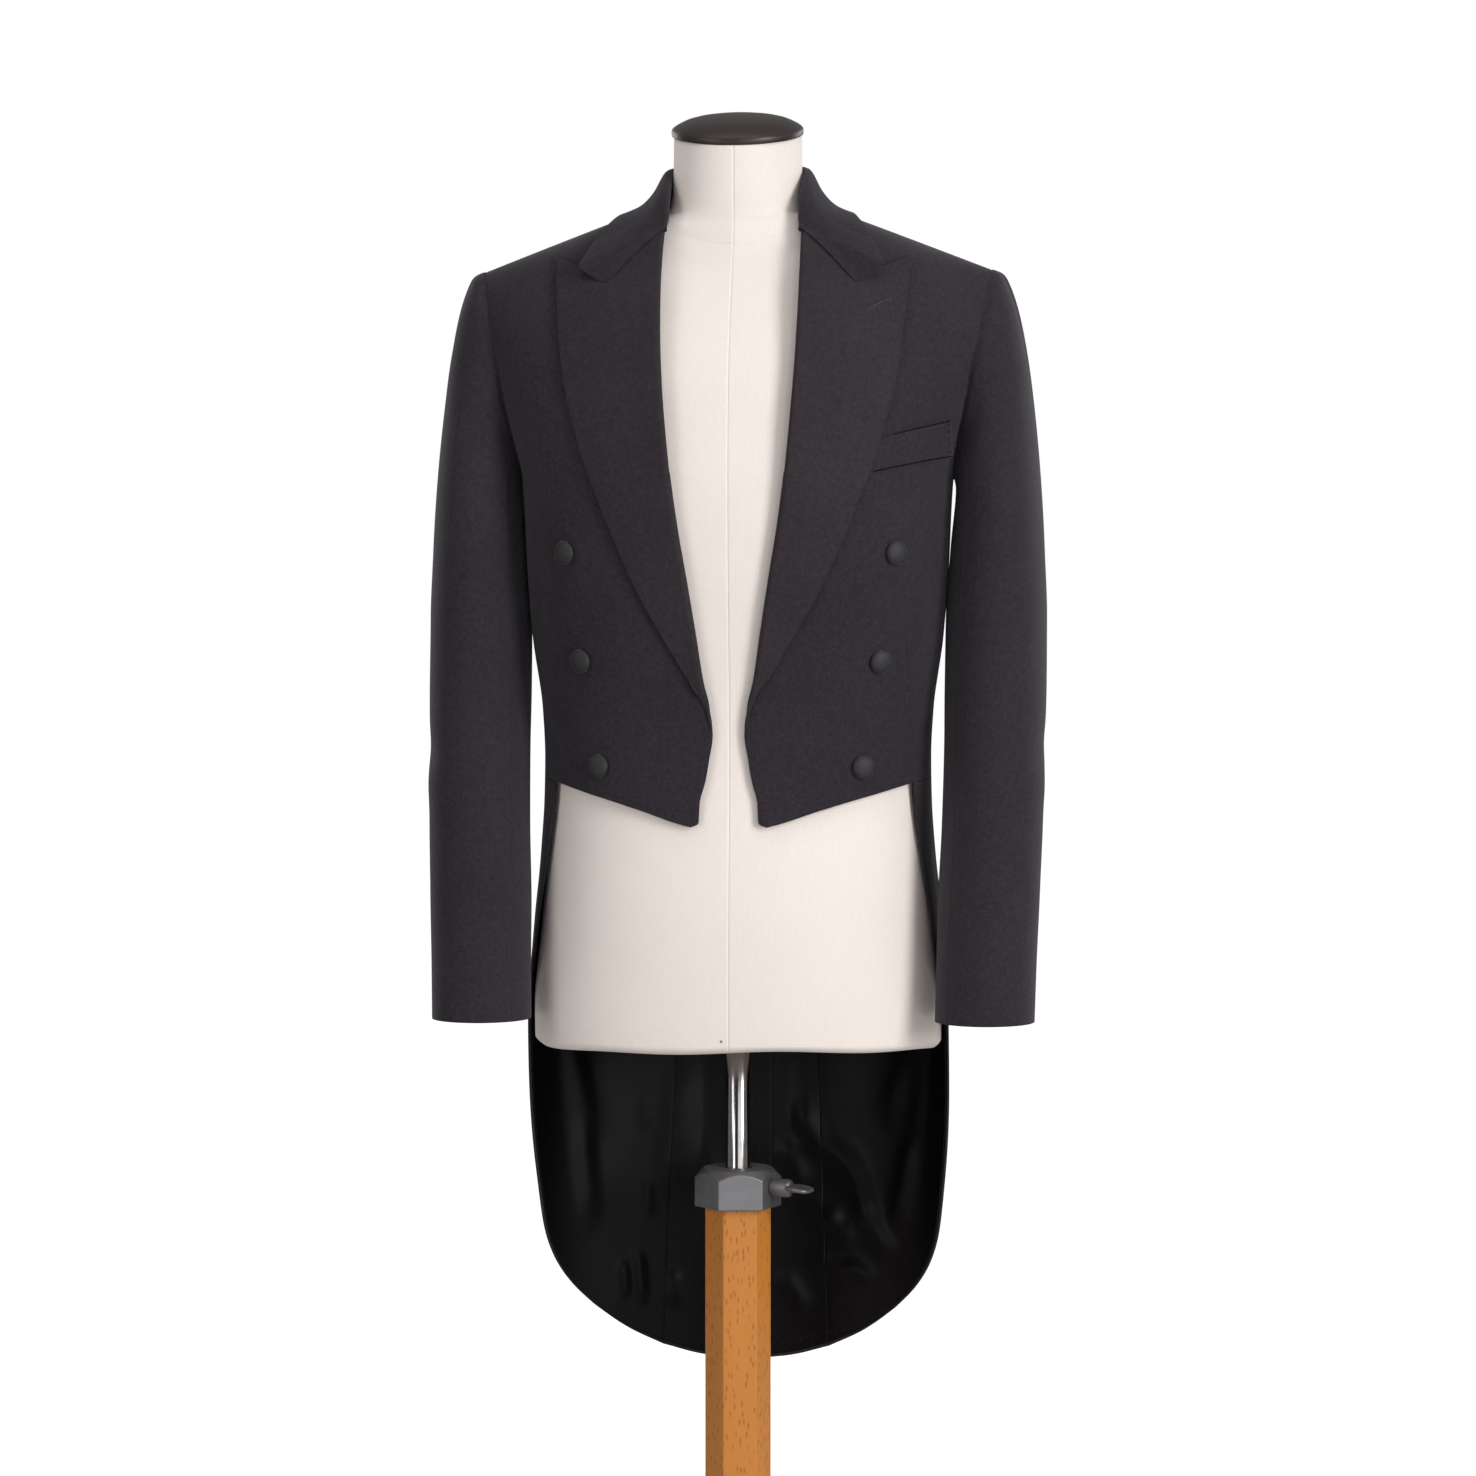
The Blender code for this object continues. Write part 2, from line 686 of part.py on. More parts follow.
def skirt_grid():
    right = spread(PLEAT_LINE, TAIL_ROWS)
    left = list(reversed(spread(TAIL_EDGE, TAIL_ROWS)))
    bottom = spread(TAIL_HEM, LOWER_ROWS)
    top = [waist_seam(SKIRT_FRONT + (BACK_SEAM - SKIRT_FRONT) * i / LOWER_ROWS)
           for i in range(LOWER_ROWS + 1)]
    return blend_patch(bottom, top, left, right)


def lapel_grid():
    left = [on_front(*place) for place in spread(ROLL_LINE, LAPEL_ROWS)]
    right = [on_front(*place) for place in spread(LAPEL_EDGE, LAPEL_ROWS)]
    top = spread([GORGE_TOP, GORGE_END], 3) + spread([GORGE_END, PEAK_TIP], 3)[1:]
    top = [on_front(*place) for place in top]
    bottom = [on_front(*place) for place in spread([ROLL_LINE[0], LAPEL_EDGE[0]], len(top) - 1)]
    return blend_patch(bottom, top, left, right)


def lapel_lift(across, along):
    """The lapel rolls off the chest at its crease and lies down towards its edge."""
    ends = math.sin(math.pi * min(1.0, 0.12 + 0.80 * along))
    bow = math.sin(math.pi * across) * along ** 2
    return LAPEL_ROLL * (1.0 - across) ** 2 * ends + LAPEL_BOW * bow


def welt_grid():
    low_in, low_out, high_in, high_out = WELT_CORNERS
    left = [on_front(*place) for place in spread([low_in, high_in], 2)]
    right = [on_front(*place) for place in spread([low_out, high_out], 2)]
    bottom = [on_front(*place) for place in spread([low_in, low_out], 5)]
    top = [on_front(*place) for place in spread([high_in, high_out], 5)]
    return blend_patch(bottom, top, left, right)


def make_coat_panels():
    seam = SEAM_TRIM
    for side in (1, -1):
        name = side_name(side)
        coat_panel("front_" + name, front_grid(), side, gaps=(0.0, seam, 0.0, seam))
        coat_panel("side_body_" + name, side_grid(), side, gaps=(seam, seam, seam, seam))
        coat_panel("back_" + name, back_grid(), side, gaps=(seam, VENT_GAP / 2, 0.0, seam))
        coat_panel("skirt_" + name, skirt_grid(), side, gaps=(0.0, seam, 0.0, 3 * seam))
        coat_lining("skirt_lining_" + name, skirt_grid(), side, LINING_EDGE_SHARE)
        coat_lining("tail_lining_" + name, back_grid(), side, 0.0)
        coat_panel("lapel_" + name, lapel_grid(), side, "silk", OVERLAY_GAP + CLOTH, CLOTH,
                   (0.0, 0.0, 0.0, 4 * seam), lapel_lift)
    coat_panel("breast_welt", welt_grid(), 1, "wool", OVERLAY_GAP + CLOTH, CLOTH)


# Sleeves

def armhole_frame(turn):
    point = coat_surface(*armhole(turn))
    along = coat_surface(*armhole(turn + 1.5)) - coat_surface(*armhole(turn - 1.5))
    inward = coat_normal(*armhole(turn)).cross(along).normalized()
    centre = (coat_surface(*armhole(0)) + coat_surface(*armhole(180))) / 2
    if inward.dot(centre - point) < 0:
        inward = -inward
    return point, inward


def sleeve_ring(turn, height):
    x, y, half_width, half_depth = sleeve_section(height)
    swing = math.radians(turn)
    return Vector((x + half_width * math.cos(swing), y - half_depth * math.sin(swing), height))


def sleeve_point(turn, place):
    """Outer face of the sleeve: place 0 is the armhole, 1 the upper arm, 2 the cuff."""
    if place >= 1.0:
        return sleeve_ring(turn, SLEEVE_TOP + (CUFF - SLEEVE_TOP) * (place - 1.0))
    swing = math.radians(turn)
    seam, inward = armhole_frame(turn)
    start = seam + inward * (2 * SEAM_GAP) + Vector((2 * SEAM_GAP, 0, 0))
    end = sleeve_ring(turn, SLEEVE_TOP)
    out = HEAD_OUT + HEAD_OUT_AT_TOP * math.cos(swing)
    depart = Vector((1.0, -HEAD_TURN * math.sin(swing), -HEAD_DIP * math.cos(swing / 2) ** 2)) * out
    fall = HEAD_FALL + HEAD_FALL_AT_TOP * math.cos(swing)
    arrive = (sleeve_ring(turn, SLEEVE_TOP - HEAD_STEP) - end) * (fall / HEAD_STEP)
    t = place
    point = start * ((1 + 2 * t) * (1 - t) ** 2) + end * (t * t * (3 - 2 * t))
    return point + depart * (t * (1 - t) ** 2) + arrive * (t * t * (t - 1))


def sleeve_normal(turn, place):
    around = sleeve_point(turn + 2.0, place) - sleeve_point(turn - 2.0, place)
    ahead = min(2.0, place + 0.02)
    behind = max(0.0, place - 0.02)
    down = sleeve_point(turn, ahead) - sleeve_point(turn, behind)
    return down.cross(around).normalized()


def sleeve_panel(name, start, end, side):
    turns = armhole_turns(start, end)
    outer = [[sleeve_point(turn, place) for turn in turns] for place in reversed(SLEEVE_PLACES)]
    normals = [[sleeve_normal(turn, place) for turn in turns] for place in reversed(SLEEVE_PLACES)]
    moves = trim_edges(outer, (SEAM_TRIM, SEAM_TRIM, 0.0, 0.0))
    outer = [[p + m for p, m in zip(a, b)] for a, b in zip(outer, moves)]
    inner = [[p - n * CLOTH for p, n in zip(a, b)] for a, b in zip(outer, normals)]
    vertices, faces = wall_mesh(outer, inner)
    add_object(name, mirrored(vertices, side), faces, "wool")


def make_sleeves():
    for side in (1, -1):
        name = side_name(side)
        sleeve_panel("top_sleeve_" + name, ELBOW_SEAM_TURN, FOREARM_SEAM_TURN, side)
        sleeve_panel("undersleeve_" + name, FOREARM_SEAM_TURN, 360.0 + ELBOW_SEAM_TURN, side)


# Collar

def clear_of_coat(point, clearance):
    """The point, moved off the coat's surface where it would sink into it."""
    top = ridge_height(point.x)
    if point.z >= top:
        return Vector((point.x, point.y, max(point.z, top + clearance)))
    climb = math.asin((point.z - ARMPIT) / (top - ARMPIT))
    level = ARMPIT + UPPER_SPAN * climb * 2 / math.pi
    half_width, front, back, squareness = coat_section(level)
    side = min(1.0, abs(point.x) / half_width)
    ahead = (1.0 - side ** squareness) ** (1.0 / squareness) * math.cos(climb)
    if point.y < 0:
        return Vector((point.x, min(point.y, -front * ahead - clearance), point.z))
    return Vector((point.x, max(point.y, back * ahead + clearance), point.z))


def collar_profile(station):
    fold = Vector(station[0:3])
    edge = Vector(station[3:6])
    outward = Vector((edge.x - fold.x, edge.y - fold.y, 0)).normalized()
    up = Vector((0, 0, 1))
    stand = min(STAND_MOST, max(STAND_LEAST, (fold.z - STAND_START) * STAND_GROWTH))
    foot = fold + outward * (stand * STAND_LEAN - STAND_INSET) - up * (stand + STAND_INSET)
    points = [foot, fold - outward * FOLD_BACK - up * FOLD_DROP, fold,
              fold + outward * ROLL_OUT - up * ROLL_DROP]
    for share in (0.3, 0.65, 1.0):
        fall = points[3].lerp(edge, share)
        points.append(clear_of_coat(fall, CLOTH + COLLAR_GAP))
    return points


def make_collar():
    half = [tuple(row) for row in spread(COLLAR_STATIONS, 13)]
    stations = [(-row[0], row[1], row[2], -row[3], row[4], row[5]) for row in half]
    stations += list(reversed(half[:-1]))
    outer = [collar_profile(station) for station in stations]
    rows = len(outer)
    columns = len(outer[0])
    inner = []
    for j in range(rows):
        row = []
        for i in range(columns):
            along = outer[min(j + 1, rows - 1)][i] - outer[max(j - 1, 0)][i]
            across = outer[j][min(i + 1, columns - 1)] - outer[j][max(i - 1, 0)]
            row.append(outer[j][i] - along.cross(across).normalized() * CLOTH)
        inner.append(row)
    vertices, faces = wall_mesh(outer, inner)
    add_object("collar", vertices, faces, "wool")


# Turned pieces

def turned(name, profile, sides, kind, place=None, squash=(1.0, 1.0), smooth_angle=40.0):
    """Solid turned about Z from radius, height pairs; a radius of 0 closes an end."""
    vertices = []
    rings = []
    for radius, height in profile:
        if radius == 0.0:
            rings.append([len(vertices)])
            vertices.append(Vector((0, 0, height)))
            continue
        ring = []
        for k in range(sides):
            swing = 2 * math.pi * k / sides
            ring.append(len(vertices))
            vertices.append(Vector((radius * squash[0] * math.cos(swing),
                                    radius * squash[1] * math.sin(swing), height)))
        rings.append(ring)
    faces = []
    for lower, upper in zip(rings[:-1], rings[1:]):
        for k in range(sides):
            quad = [lower[k % len(lower)], lower[(k + 1) % len(lower)],
                    upper[(k + 1) % len(upper)], upper[k % len(upper)]]
            face = []
            for index in quad:
                if index not in face:
                    face.append(index)
            faces.append(tuple(face))
    if place:
        vertices = [place @ point for point in vertices]
    return add_object(name, vertices, faces, kind, smooth_angle)


def standing_on(point, normal):
    turn = Vector((0, 0, 1)).rotation_difference(normal)
    return Matrix.Translation(point) @ turn.to_matrix().to_4x4()


def covered_button(name, diameter, point, normal, side):
    radius = diameter / 2
    profile = [(radius * out, radius * up) for out, up in BUTTON_DOME]
    place = standing_on(mirrored([point], side)[0], mirrored([normal], side)[0])
    turned(name, profile, 12, "silk", place)


def make_buttons():
    for side in (1, -1):
        name = side_name(side)
        for k, (x, z) in enumerate(FRONT_BUTTONS):
            place = on_front(x, z)
            covered_button("front_button_%s_%d" % (name, k + 1), FRONT_BUTTON,
                           coat_point(*place, BUTTON_GAP), coat_normal(*place), side)
        place = BACK_BUTTON
        covered_button("back_button_" + name, FRONT_BUTTON,
                       coat_point(*place, BACK_BUTTON_GAP), coat_normal(*place), side)
        for k in range(4):
            height = CUFF_BUTTON_LOWEST + CUFF_BUTTON_PITCH * k
            spot = (CUFF_BUTTON_TURN, 1.0 + (SLEEVE_TOP - height) / (SLEEVE_TOP - CUFF))
            normal = sleeve_normal(*spot)
            covered_button("cuff_button_%s_%d" % (name, k + 1), CUFF_BUTTON,
                           sleeve_point(*spot) + normal * CUFF_BUTTON_GAP, normal, side)


# Dress form

def form_ring(height):
    half_width, front, back, squareness = form_section(height)
    ring = []
    for k in range(FORM_SIDES):
        side, ahead = unit_section(360.0 * k / FORM_SIDES, squareness)
        depth = front if ahead > 0 else back
        ring.append(Vector((half_width * side, -depth * ahead, height)))
    return ring


def neck_top_height(y):
    return NECK_TOP + math.tan(NECK_TILT) * (y - NECK_CENTRE)


def make_form():
    sides = FORM_SIDES
    rings = [form_ring(height) for height in FORM_RINGS]
    rings.append([Vector((p.x, p.y, neck_top_height(p.y))) for p in form_ring(NECK_RING)])
    bore = ROD_RADIUS + BORE_CLEARANCE
    bore_rings = []
    for radius, height in ((bore, SOCKET_TOP), (bore, FORM_BOTTOM)):
        ring = []
        for k in range(sides):
            swing = 2 * math.pi * k / sides
            ring.append(Vector((radius * math.sin(swing), -radius * math.cos(swing), height)))
        bore_rings.append(ring)
    rings = bore_rings + rings
    vertices = [Vector((0, 0, SOCKET_TOP))]
    for ring in rings:
        vertices += ring
    vertices.append(Vector((0, NECK_CENTRE, NECK_TOP)))
    last = len(vertices) - 1
    faces = []
    for k in range(sides):
        after = (k + 1) % sides
        faces.append((0, 1 + after, 1 + k))
        for j in range(len(rings) - 1):
            base = 1 + j * sides
            faces.append((base + k, base + after, base + sides + after, base + sides + k))
        base = 1 + (len(rings) - 1) * sides
        faces.append((base + k, base + after, last))
    add_object("form_torso", vertices, faces, "linen")


def make_neck_cap():
    tilt = Matrix.Translation((0, NECK_CENTRE, NECK_TOP)) @ Matrix.Rotation(NECK_TILT, 4, "X")
    turned("neck_cap", CAP_PROFILE, FORM_SIDES, "cap", tilt, (1.0, CAP_SQUASH), 60.0)


# Stand

def prism(name, corner, low, high, turn, kind, bevel=0.0):
    """Hexagonal bar with a flat towards the front, turned about Z by some degrees."""
    mesh = bpy.data.meshes.new(name)
    shape = bmesh.new()
    bmesh.ops.create_cone(shape, cap_ends=True, segments=6, radius1=corner, radius2=corner, depth=high - low)
    bmesh.ops.rotate(shape, verts=shape.verts, matrix=Matrix.Rotation(math.radians(turn + 30.0), 3, "Z"))
    bmesh.ops.translate(shape, verts=shape.verts, vec=(0, 0, (low + high) / 2))
    if bevel:
        top = [edge for edge in shape.edges if all(v.co.z > high - 0.0001 for v in edge.verts)]
        bmesh.ops.bevel(shape, geom=top, offset=bevel, segments=1, affect="EDGES")
    shape.to_mesh(mesh)
    shape.free()
    made = bpy.data.objects.new(name, mesh)
    bpy.context.scene.collection.objects.link(made)
    roughness, metallic = finish_for(kind)
    made.data.materials.append(material(name + "_finish", kind, roughness, metallic))
    return made


def cutter(shape):
    shape.hide_render = True
    shape.display_type = "WIRE"
    return shape


def cut(target, tool, operation="DIFFERENCE"):
    change = target.modifiers.new(operation.title() + "_" + tool.name, "BOOLEAN")
    change.operation = operation
    change.solver = "EXACT"
    change.object = cutter(tool)


def round_tool(name, radius, low, high, sides=24, place=None):
    return turned(name, [(0.0, low), (radius, low), (radius, high), (0.0, high)], sides, "beech", place)


def make_stand():
    rod = [(0.0, ROD_BOTTOM), (ROD_RADIUS - 0.001, ROD_BOTTOM), (ROD_RADIUS, ROD_BOTTOM + 0.001),
           (ROD_RADIUS, SOCKET_TOP - 0.0013), (ROD_RADIUS - 0.001, SOCKET_TOP - SEAM_GAP),
           (0.0, SOCKET_TOP - SEAM_GAP)]
    turned("height_rod", rod, 28, "chrome")

    post = prism("post", POST_CORNER, BASE_HEIGHT - BASE_SOCKET + SEAM_GAP, POST_TOP, CLAMP_TURN, "beech")
    bore = ROD_RADIUS + BORE_CLEARANCE
    cut(post, round_tool("post_bore", bore, POST_TOP - POST_BORE_DEPTH, POST_TOP + 0.01))

    clamp = prism("clamp", CLAMP_CORNER, CLAMP_BOTTOM, CLAMP_TOP, CLAMP_TURN, "aluminium", CLAMP_BEVEL)
    ring_foot = CLAMP_TOP - CLAMP_BEVEL
    ring_top = CLAMP_TOP + RING_RISE
    ring = turned("clamp_ring", [(0.0, ring_foot), (RING_RADIUS, ring_foot), (RING_RADIUS, ring_top - RING_BEVEL),
                                 (RING_RADIUS - RING_BEVEL, ring_top), (0.0, ring_top)], 28, "aluminium")
    recess = prism("clamp_recess", POST_CORNER + SEAM_GAP, CLAMP_BOTTOM - 0.01, POST_TOP + SEAM_GAP,
                   CLAMP_TURN, "aluminium")
    cut(clamp, recess)
    cut(clamp, ring, "UNION")
    cut(clamp, round_tool("clamp_bore", bore, CLAMP_BOTTOM - 0.02, CLAMP_TOP + 0.02))

    swing = math.radians(CLAMP_TURN + SCREW_TURN)
    axis = Vector((math.sin(swing), -math.cos(swing), 0))
    face = CLAMP_CORNER * math.cos(math.radians(30))
    centre = Vector((0, 0, SCREW_HEIGHT))
    drill = standing_on(centre, axis)
    cut(clamp, round_tool("screw_hole", SCREW_HOLE, ROD_RADIUS / 2, CLAMP_CORNER + 0.01, 14, drill))

    head_start = face + SEAM_GAP
    head_end = face + HEAD_LENGTH
    screw = turned("thumbscrew", [(0.0, SCREW_TIP), (SCREW_RADIUS, SCREW_TIP), (SCREW_RADIUS, head_start),
                                  (HEAD_RADIUS, head_start), (HEAD_RADIUS, head_end - HEAD_BEVEL),
                                  (HEAD_RADIUS - HEAD_BEVEL, head_end), (0.0, head_end)], 20, "aluminium",
                   drill)
    wing = bpy.data.meshes.new("wing")
    shape = bmesh.new()
    bmesh.ops.create_cube(shape, size=1.0)
    bmesh.ops.scale(shape, vec=WING_SIZE, verts=shape.verts)
    across = [edge for edge in shape.edges if abs((edge.verts[0].co - edge.verts[1].co).x) > WING_SIZE[0] / 2]
    bmesh.ops.bevel(shape, geom=across, offset=WING_CORNER, segments=3, affect="EDGES")
    bmesh.ops.translate(shape, verts=shape.verts, vec=(0, 0, face + WING_CENTRE))
    shape.to_mesh(wing)
    shape.free()
    wing.transform(drill)
    wing_tool = bpy.data.objects.new("wing", wing)
    bpy.context.scene.collection.objects.link(wing_tool)
    cut(screw, wing_tool, "UNION")

    edge = BASE_EDGE
    base = [(0.0, 0.0), (BASE_RADIUS - FOOT_BEVEL, 0.0), (BASE_RADIUS, FOOT_BEVEL),
            (BASE_RADIUS, BASE_HEIGHT - edge), (BASE_RADIUS - edge * 0.3, BASE_HEIGHT - edge * 0.3),
            (BASE_RADIUS - edge, BASE_HEIGHT), (0.0, BASE_HEIGHT)]
    foot = turned("base", base, 56, "beech")
    socket = prism("base_socket", POST_CORNER + SEAM_GAP, BASE_HEIGHT - BASE_SOCKET, BASE_HEIGHT + 0.01,
                   CLAMP_TURN, "beech")
    cut(foot, socket)


start_clean()
make_coat_panels()
make_sleeves()
make_collar()
make_buttons()
make_form()
make_neck_cap()
make_stand()
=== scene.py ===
# White tie tailcoat on a limbless dress form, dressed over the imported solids.
# Metres, +Z up, +X is the wearer's left, -Y the front.
import math

import bmesh
import bpy
import numpy as np
from mathutils import Matrix, Vector


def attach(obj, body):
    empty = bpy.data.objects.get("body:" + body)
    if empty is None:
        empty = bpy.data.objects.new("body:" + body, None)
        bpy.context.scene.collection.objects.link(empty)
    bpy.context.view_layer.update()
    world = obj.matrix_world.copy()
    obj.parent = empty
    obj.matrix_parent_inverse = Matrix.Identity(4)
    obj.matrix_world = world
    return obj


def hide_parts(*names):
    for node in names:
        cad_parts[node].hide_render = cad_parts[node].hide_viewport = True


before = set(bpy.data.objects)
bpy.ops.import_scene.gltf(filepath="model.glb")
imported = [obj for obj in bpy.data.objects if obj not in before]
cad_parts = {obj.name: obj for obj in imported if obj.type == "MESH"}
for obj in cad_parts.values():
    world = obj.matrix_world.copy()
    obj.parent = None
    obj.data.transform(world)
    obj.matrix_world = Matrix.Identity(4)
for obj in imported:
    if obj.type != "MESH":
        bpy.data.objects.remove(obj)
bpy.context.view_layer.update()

studio = {
    "cameraTurn": 4.3,  # degrees towards the wearer's left
    "cameraDistance": 3.80,
    "cameraHeight": 1.20,
    "aim": (0.0, 0.0, 1.0535),
    "frameWidth": 1.299,  # what the frame spans at the stand's axis
    "sensor": 36.0,
    "floorSize": 60.0,
    "floorGlow": 0.97,
    "floorFill": 0.12,
    "white": (1.0, 1.0, 1.0),
    "worldStrength": 1.0,
    "fillStrength": 0.34,
    "fillBehindCamera": 0.05,
    "fillRise": (-0.95, 0.10),
    "lampAim": (0.0, 0.0, 1.25),
}

cloth = {
    "thick": 0.0018,
    "seamGap": 0.00004,  # each side of a seam
    "edgeRound": 0.0006,
    "cell": 0.0048,  # side of a mesh cell
}

sideSign = {"left": 1, "right": -1}


def say(stage):
    print("tailcoat:", stage)


# Curves read from short tables

def smoothTable(rows):
    table = np.array(rows, float)
    steps = table[:, 0]
    values = table[:, 1:]
    run = np.diff(values, axis=0) / np.diff(steps)[:, None]
    slopes = np.zeros_like(values)
    slopes[0] = run[0]
    slopes[-1] = run[-1]
    rising = run[:-1] * run[1:] > 0
    total = np.where(rising, run[:-1] + run[1:], 1.0)
    slopes[1:-1] = np.where(rising, 2 * run[:-1] * run[1:] / total, 0.0)

    def read(step):
        step = np.clip(np.asarray(step, float), steps[0], steps[-1])
        i = np.clip(np.searchsorted(steps, step, side="left") - 1, 0, len(steps) - 2)
        width = (steps[i + 1] - steps[i])[..., None]
        t = (step - steps[i])[..., None] / width
        value = (1 + 2 * t) * (1 - t) ** 2 * values[i] + t * t * (3 - 2 * t) * values[i + 1]
        return value + width * (t * (1 - t) ** 2 * slopes[i] + t * t * (t - 1) * slopes[i + 1])

    return read


def spread(points, count):
    # points at even steps on a smooth curve through the given ones
    points = np.array(points, float)
    scale = np.ptp(points, axis=0)
    scale[scale == 0] = 1.0
    steps = np.linalg.norm(np.diff(points, axis=0) / scale, axis=1)
    lengths = np.concatenate(([0.0], np.cumsum(steps)))
    read = smoothTable(np.column_stack((lengths, points)))
    return read(np.linspace(0.0, lengths[-1], count + 1))


def smoothStep(value):
    value = np.clip(value, 0.0, 1.0)
    return value * value * (3 - 2 * value)


def denser(points, perStep):
    # more rows on a smooth curve through every row of points
    before = np.concatenate((2 * points[:1] - points[1:2], points[:-1]))[:-1]
    after = np.concatenate((points[1:], 2 * points[-1:] - points[-2:-1]))[1:]
    start = points[:-1]
    end = points[1:]
    rows = []
    for k in range(perStep):
        t = k / perStep
        rows.append(0.5
                    * (2 * start + (end - before) * t + (2 * before - 5 * start + 4 * end - after) * t ** 2
                           + (3 * start - before - 3 * end + after) * t ** 3))
    rows = np.stack(rows, axis=1).reshape((-1,) + points.shape[1:])
    return np.concatenate((rows, points[-1:]))


# Camera, light and floor

def lookAt(thing, target):
    direction = Vector(target) - thing.location
    thing.rotation_euler = direction.to_track_quat("-Z", "Y").to_euler()


def makeCamera():
    turn = math.radians(studio["cameraTurn"])
    data = bpy.data.cameras.new("camera")
    camera = bpy.data.objects.new("camera", data)
    bpy.context.scene.collection.objects.link(camera)
    camera.location = (studio["cameraDistance"] * math.sin(turn), -studio["cameraDistance"] * math.cos(turn),
                       studio["cameraHeight"])
    lookAt(camera, studio["aim"])
    away = (Vector(studio["aim"]) - camera.location).length
    data.sensor_width = studio["sensor"]
    data.lens = studio["sensor"] * away / studio["frameWidth"]
    data.clip_end = 200.0
    bpy.context.scene.camera = camera


softboxes = [
    # name, place, size across and up, watts
    ("keyLeft", (-2.3, -2.3, 2.0), (0.9, 1.9), 17.0),
    ("keyRight", (2.4, -2.1, 2.0), (0.9, 1.9), 70.0),
    ("top", (0.0, -0.9, 3.4), (2.4, 1.4), 15.0),
    ("front", (1.5, -3.1, 0.95), (2.6, 1.6), 25.0),
    ("lowLeft", (-1.7, -2.7, 0.90), (0.8, 0.8), 8.0),
    ("backLeft", (-2.4, 2.7, 2.1), (1.2, 2.0), 32.0),
    ("backRight", (2.4, 2.7, 2.1), (1.2, 2.0), 32.0),
]


def makeSoftboxes():
    for name, place, size, watts in softboxes:
        data = bpy.data.lights.new(name, "AREA")
        data.shape = "RECTANGLE"
        data.size = size[0]
        data.size_y = size[1]
        data.energy = watts
        lamp = bpy.data.objects.new(name, data)
        bpy.context.scene.collection.objects.link(lamp)
        lamp.location = place
        lookAt(lamp, studio["lampAim"])
        lamp.visible_camera = False


def makeWorld():
    # the camera sees a white sweep, and the object gets a softer fill from it
    world = bpy.data.worlds.new("sweep")
    bpy.context.scene.world = world
    world.use_nodes = True
    nodes = world.node_tree.nodes
    links = world.node_tree.links
    nodes.clear()
    seen = nodes.new("ShaderNodeBackground")
    seen.inputs["Color"].default_value = studio["white"] + (1.0,)
    seen.inputs["Strength"].default_value = studio["worldStrength"]
    fill = nodes.new("ShaderNodeBackground")
    fill.inputs["Color"].default_value = studio["white"] + (1.0,)
    # the room behind the camera is dark
    toward = nodes.new("ShaderNodeTexCoord")
    parts = nodes.new("ShaderNodeSeparateXYZ")
    level = nodes.new("ShaderNodeMapRange")
    level.inputs["From Min"].default_value = studio["fillRise"][0]
    level.inputs["From Max"].default_value = studio["fillRise"][1]
    level.inputs["To Min"].default_value = studio["fillBehindCamera"]
    level.inputs["To Max"].default_value = studio["fillStrength"]
    links.new(toward.outputs["Generated"], parts.inputs["Vector"])
    links.new(parts.outputs["Y"], level.inputs["Value"])
    links.new(level.outputs["Result"], fill.inputs["Strength"])
    path = nodes.new("ShaderNodeLightPath")
    choose = nodes.new("ShaderNodeMixShader")
    output = nodes.new("ShaderNodeOutputWorld")
    links.new(path.outputs["Is Camera Ray"], choose.inputs["Fac"])
    links.new(fill.outputs["Background"], choose.inputs[1])
    links.new(seen.outputs["Background"], choose.inputs[2])
    links.new(choose.outputs["Shader"], output.inputs["Surface"])


def makeFloor():
    size = studio["floorSize"] / 2
    mesh = bpy.data.meshes.new("floor")
    mesh.from_pydata([(-size, -size, 0), (size, -size, 0), (size, size, 0), (-size, size, 0)], [],
                     [(0, 1, 2, 3)])
    floor = bpy.data.objects.new("floor", mesh)
    bpy.context.scene.collection.objects.link(floor)
    paint = bpy.data.materials.new("floorPaint")
    paint.use_nodes = True
    shader = paint.node_tree.nodes["Principled BSDF"]
    shader.inputs["Base Color"].default_value = (0.30, 0.30, 0.30, 1.0)
    shader.inputs["Roughness"].default_value = 0.9
    shader.inputs["Specular IOR Level"].default_value = 0.1
    shader.inputs["Emission Color"].default_value = (1.0, 1.0, 1.0, 1.0)
    glow = paint.node_tree.nodes.new("ShaderNodeMapRange")
    glow.inputs["To Min"].default_value = studio["floorFill"]
    glow.inputs["To Max"].default_value = studio["floorGlow"]
    path = paint.node_tree.nodes.new("ShaderNodeLightPath")
    paint.node_tree.links.new(path.outputs["Is Camera Ray"], glow.inputs["Value"])
    paint.node_tree.links.new(glow.outputs["Result"], shader.inputs["Emission Strength"])
    mesh.materials.append(paint)


makeCamera()
makeSoftboxes()
makeWorld()
makeFloor()
bpy.context.scene.view_settings.view_transform = "Standard"
say("studio is up")

# The coat's form, on the same sizes as its solids

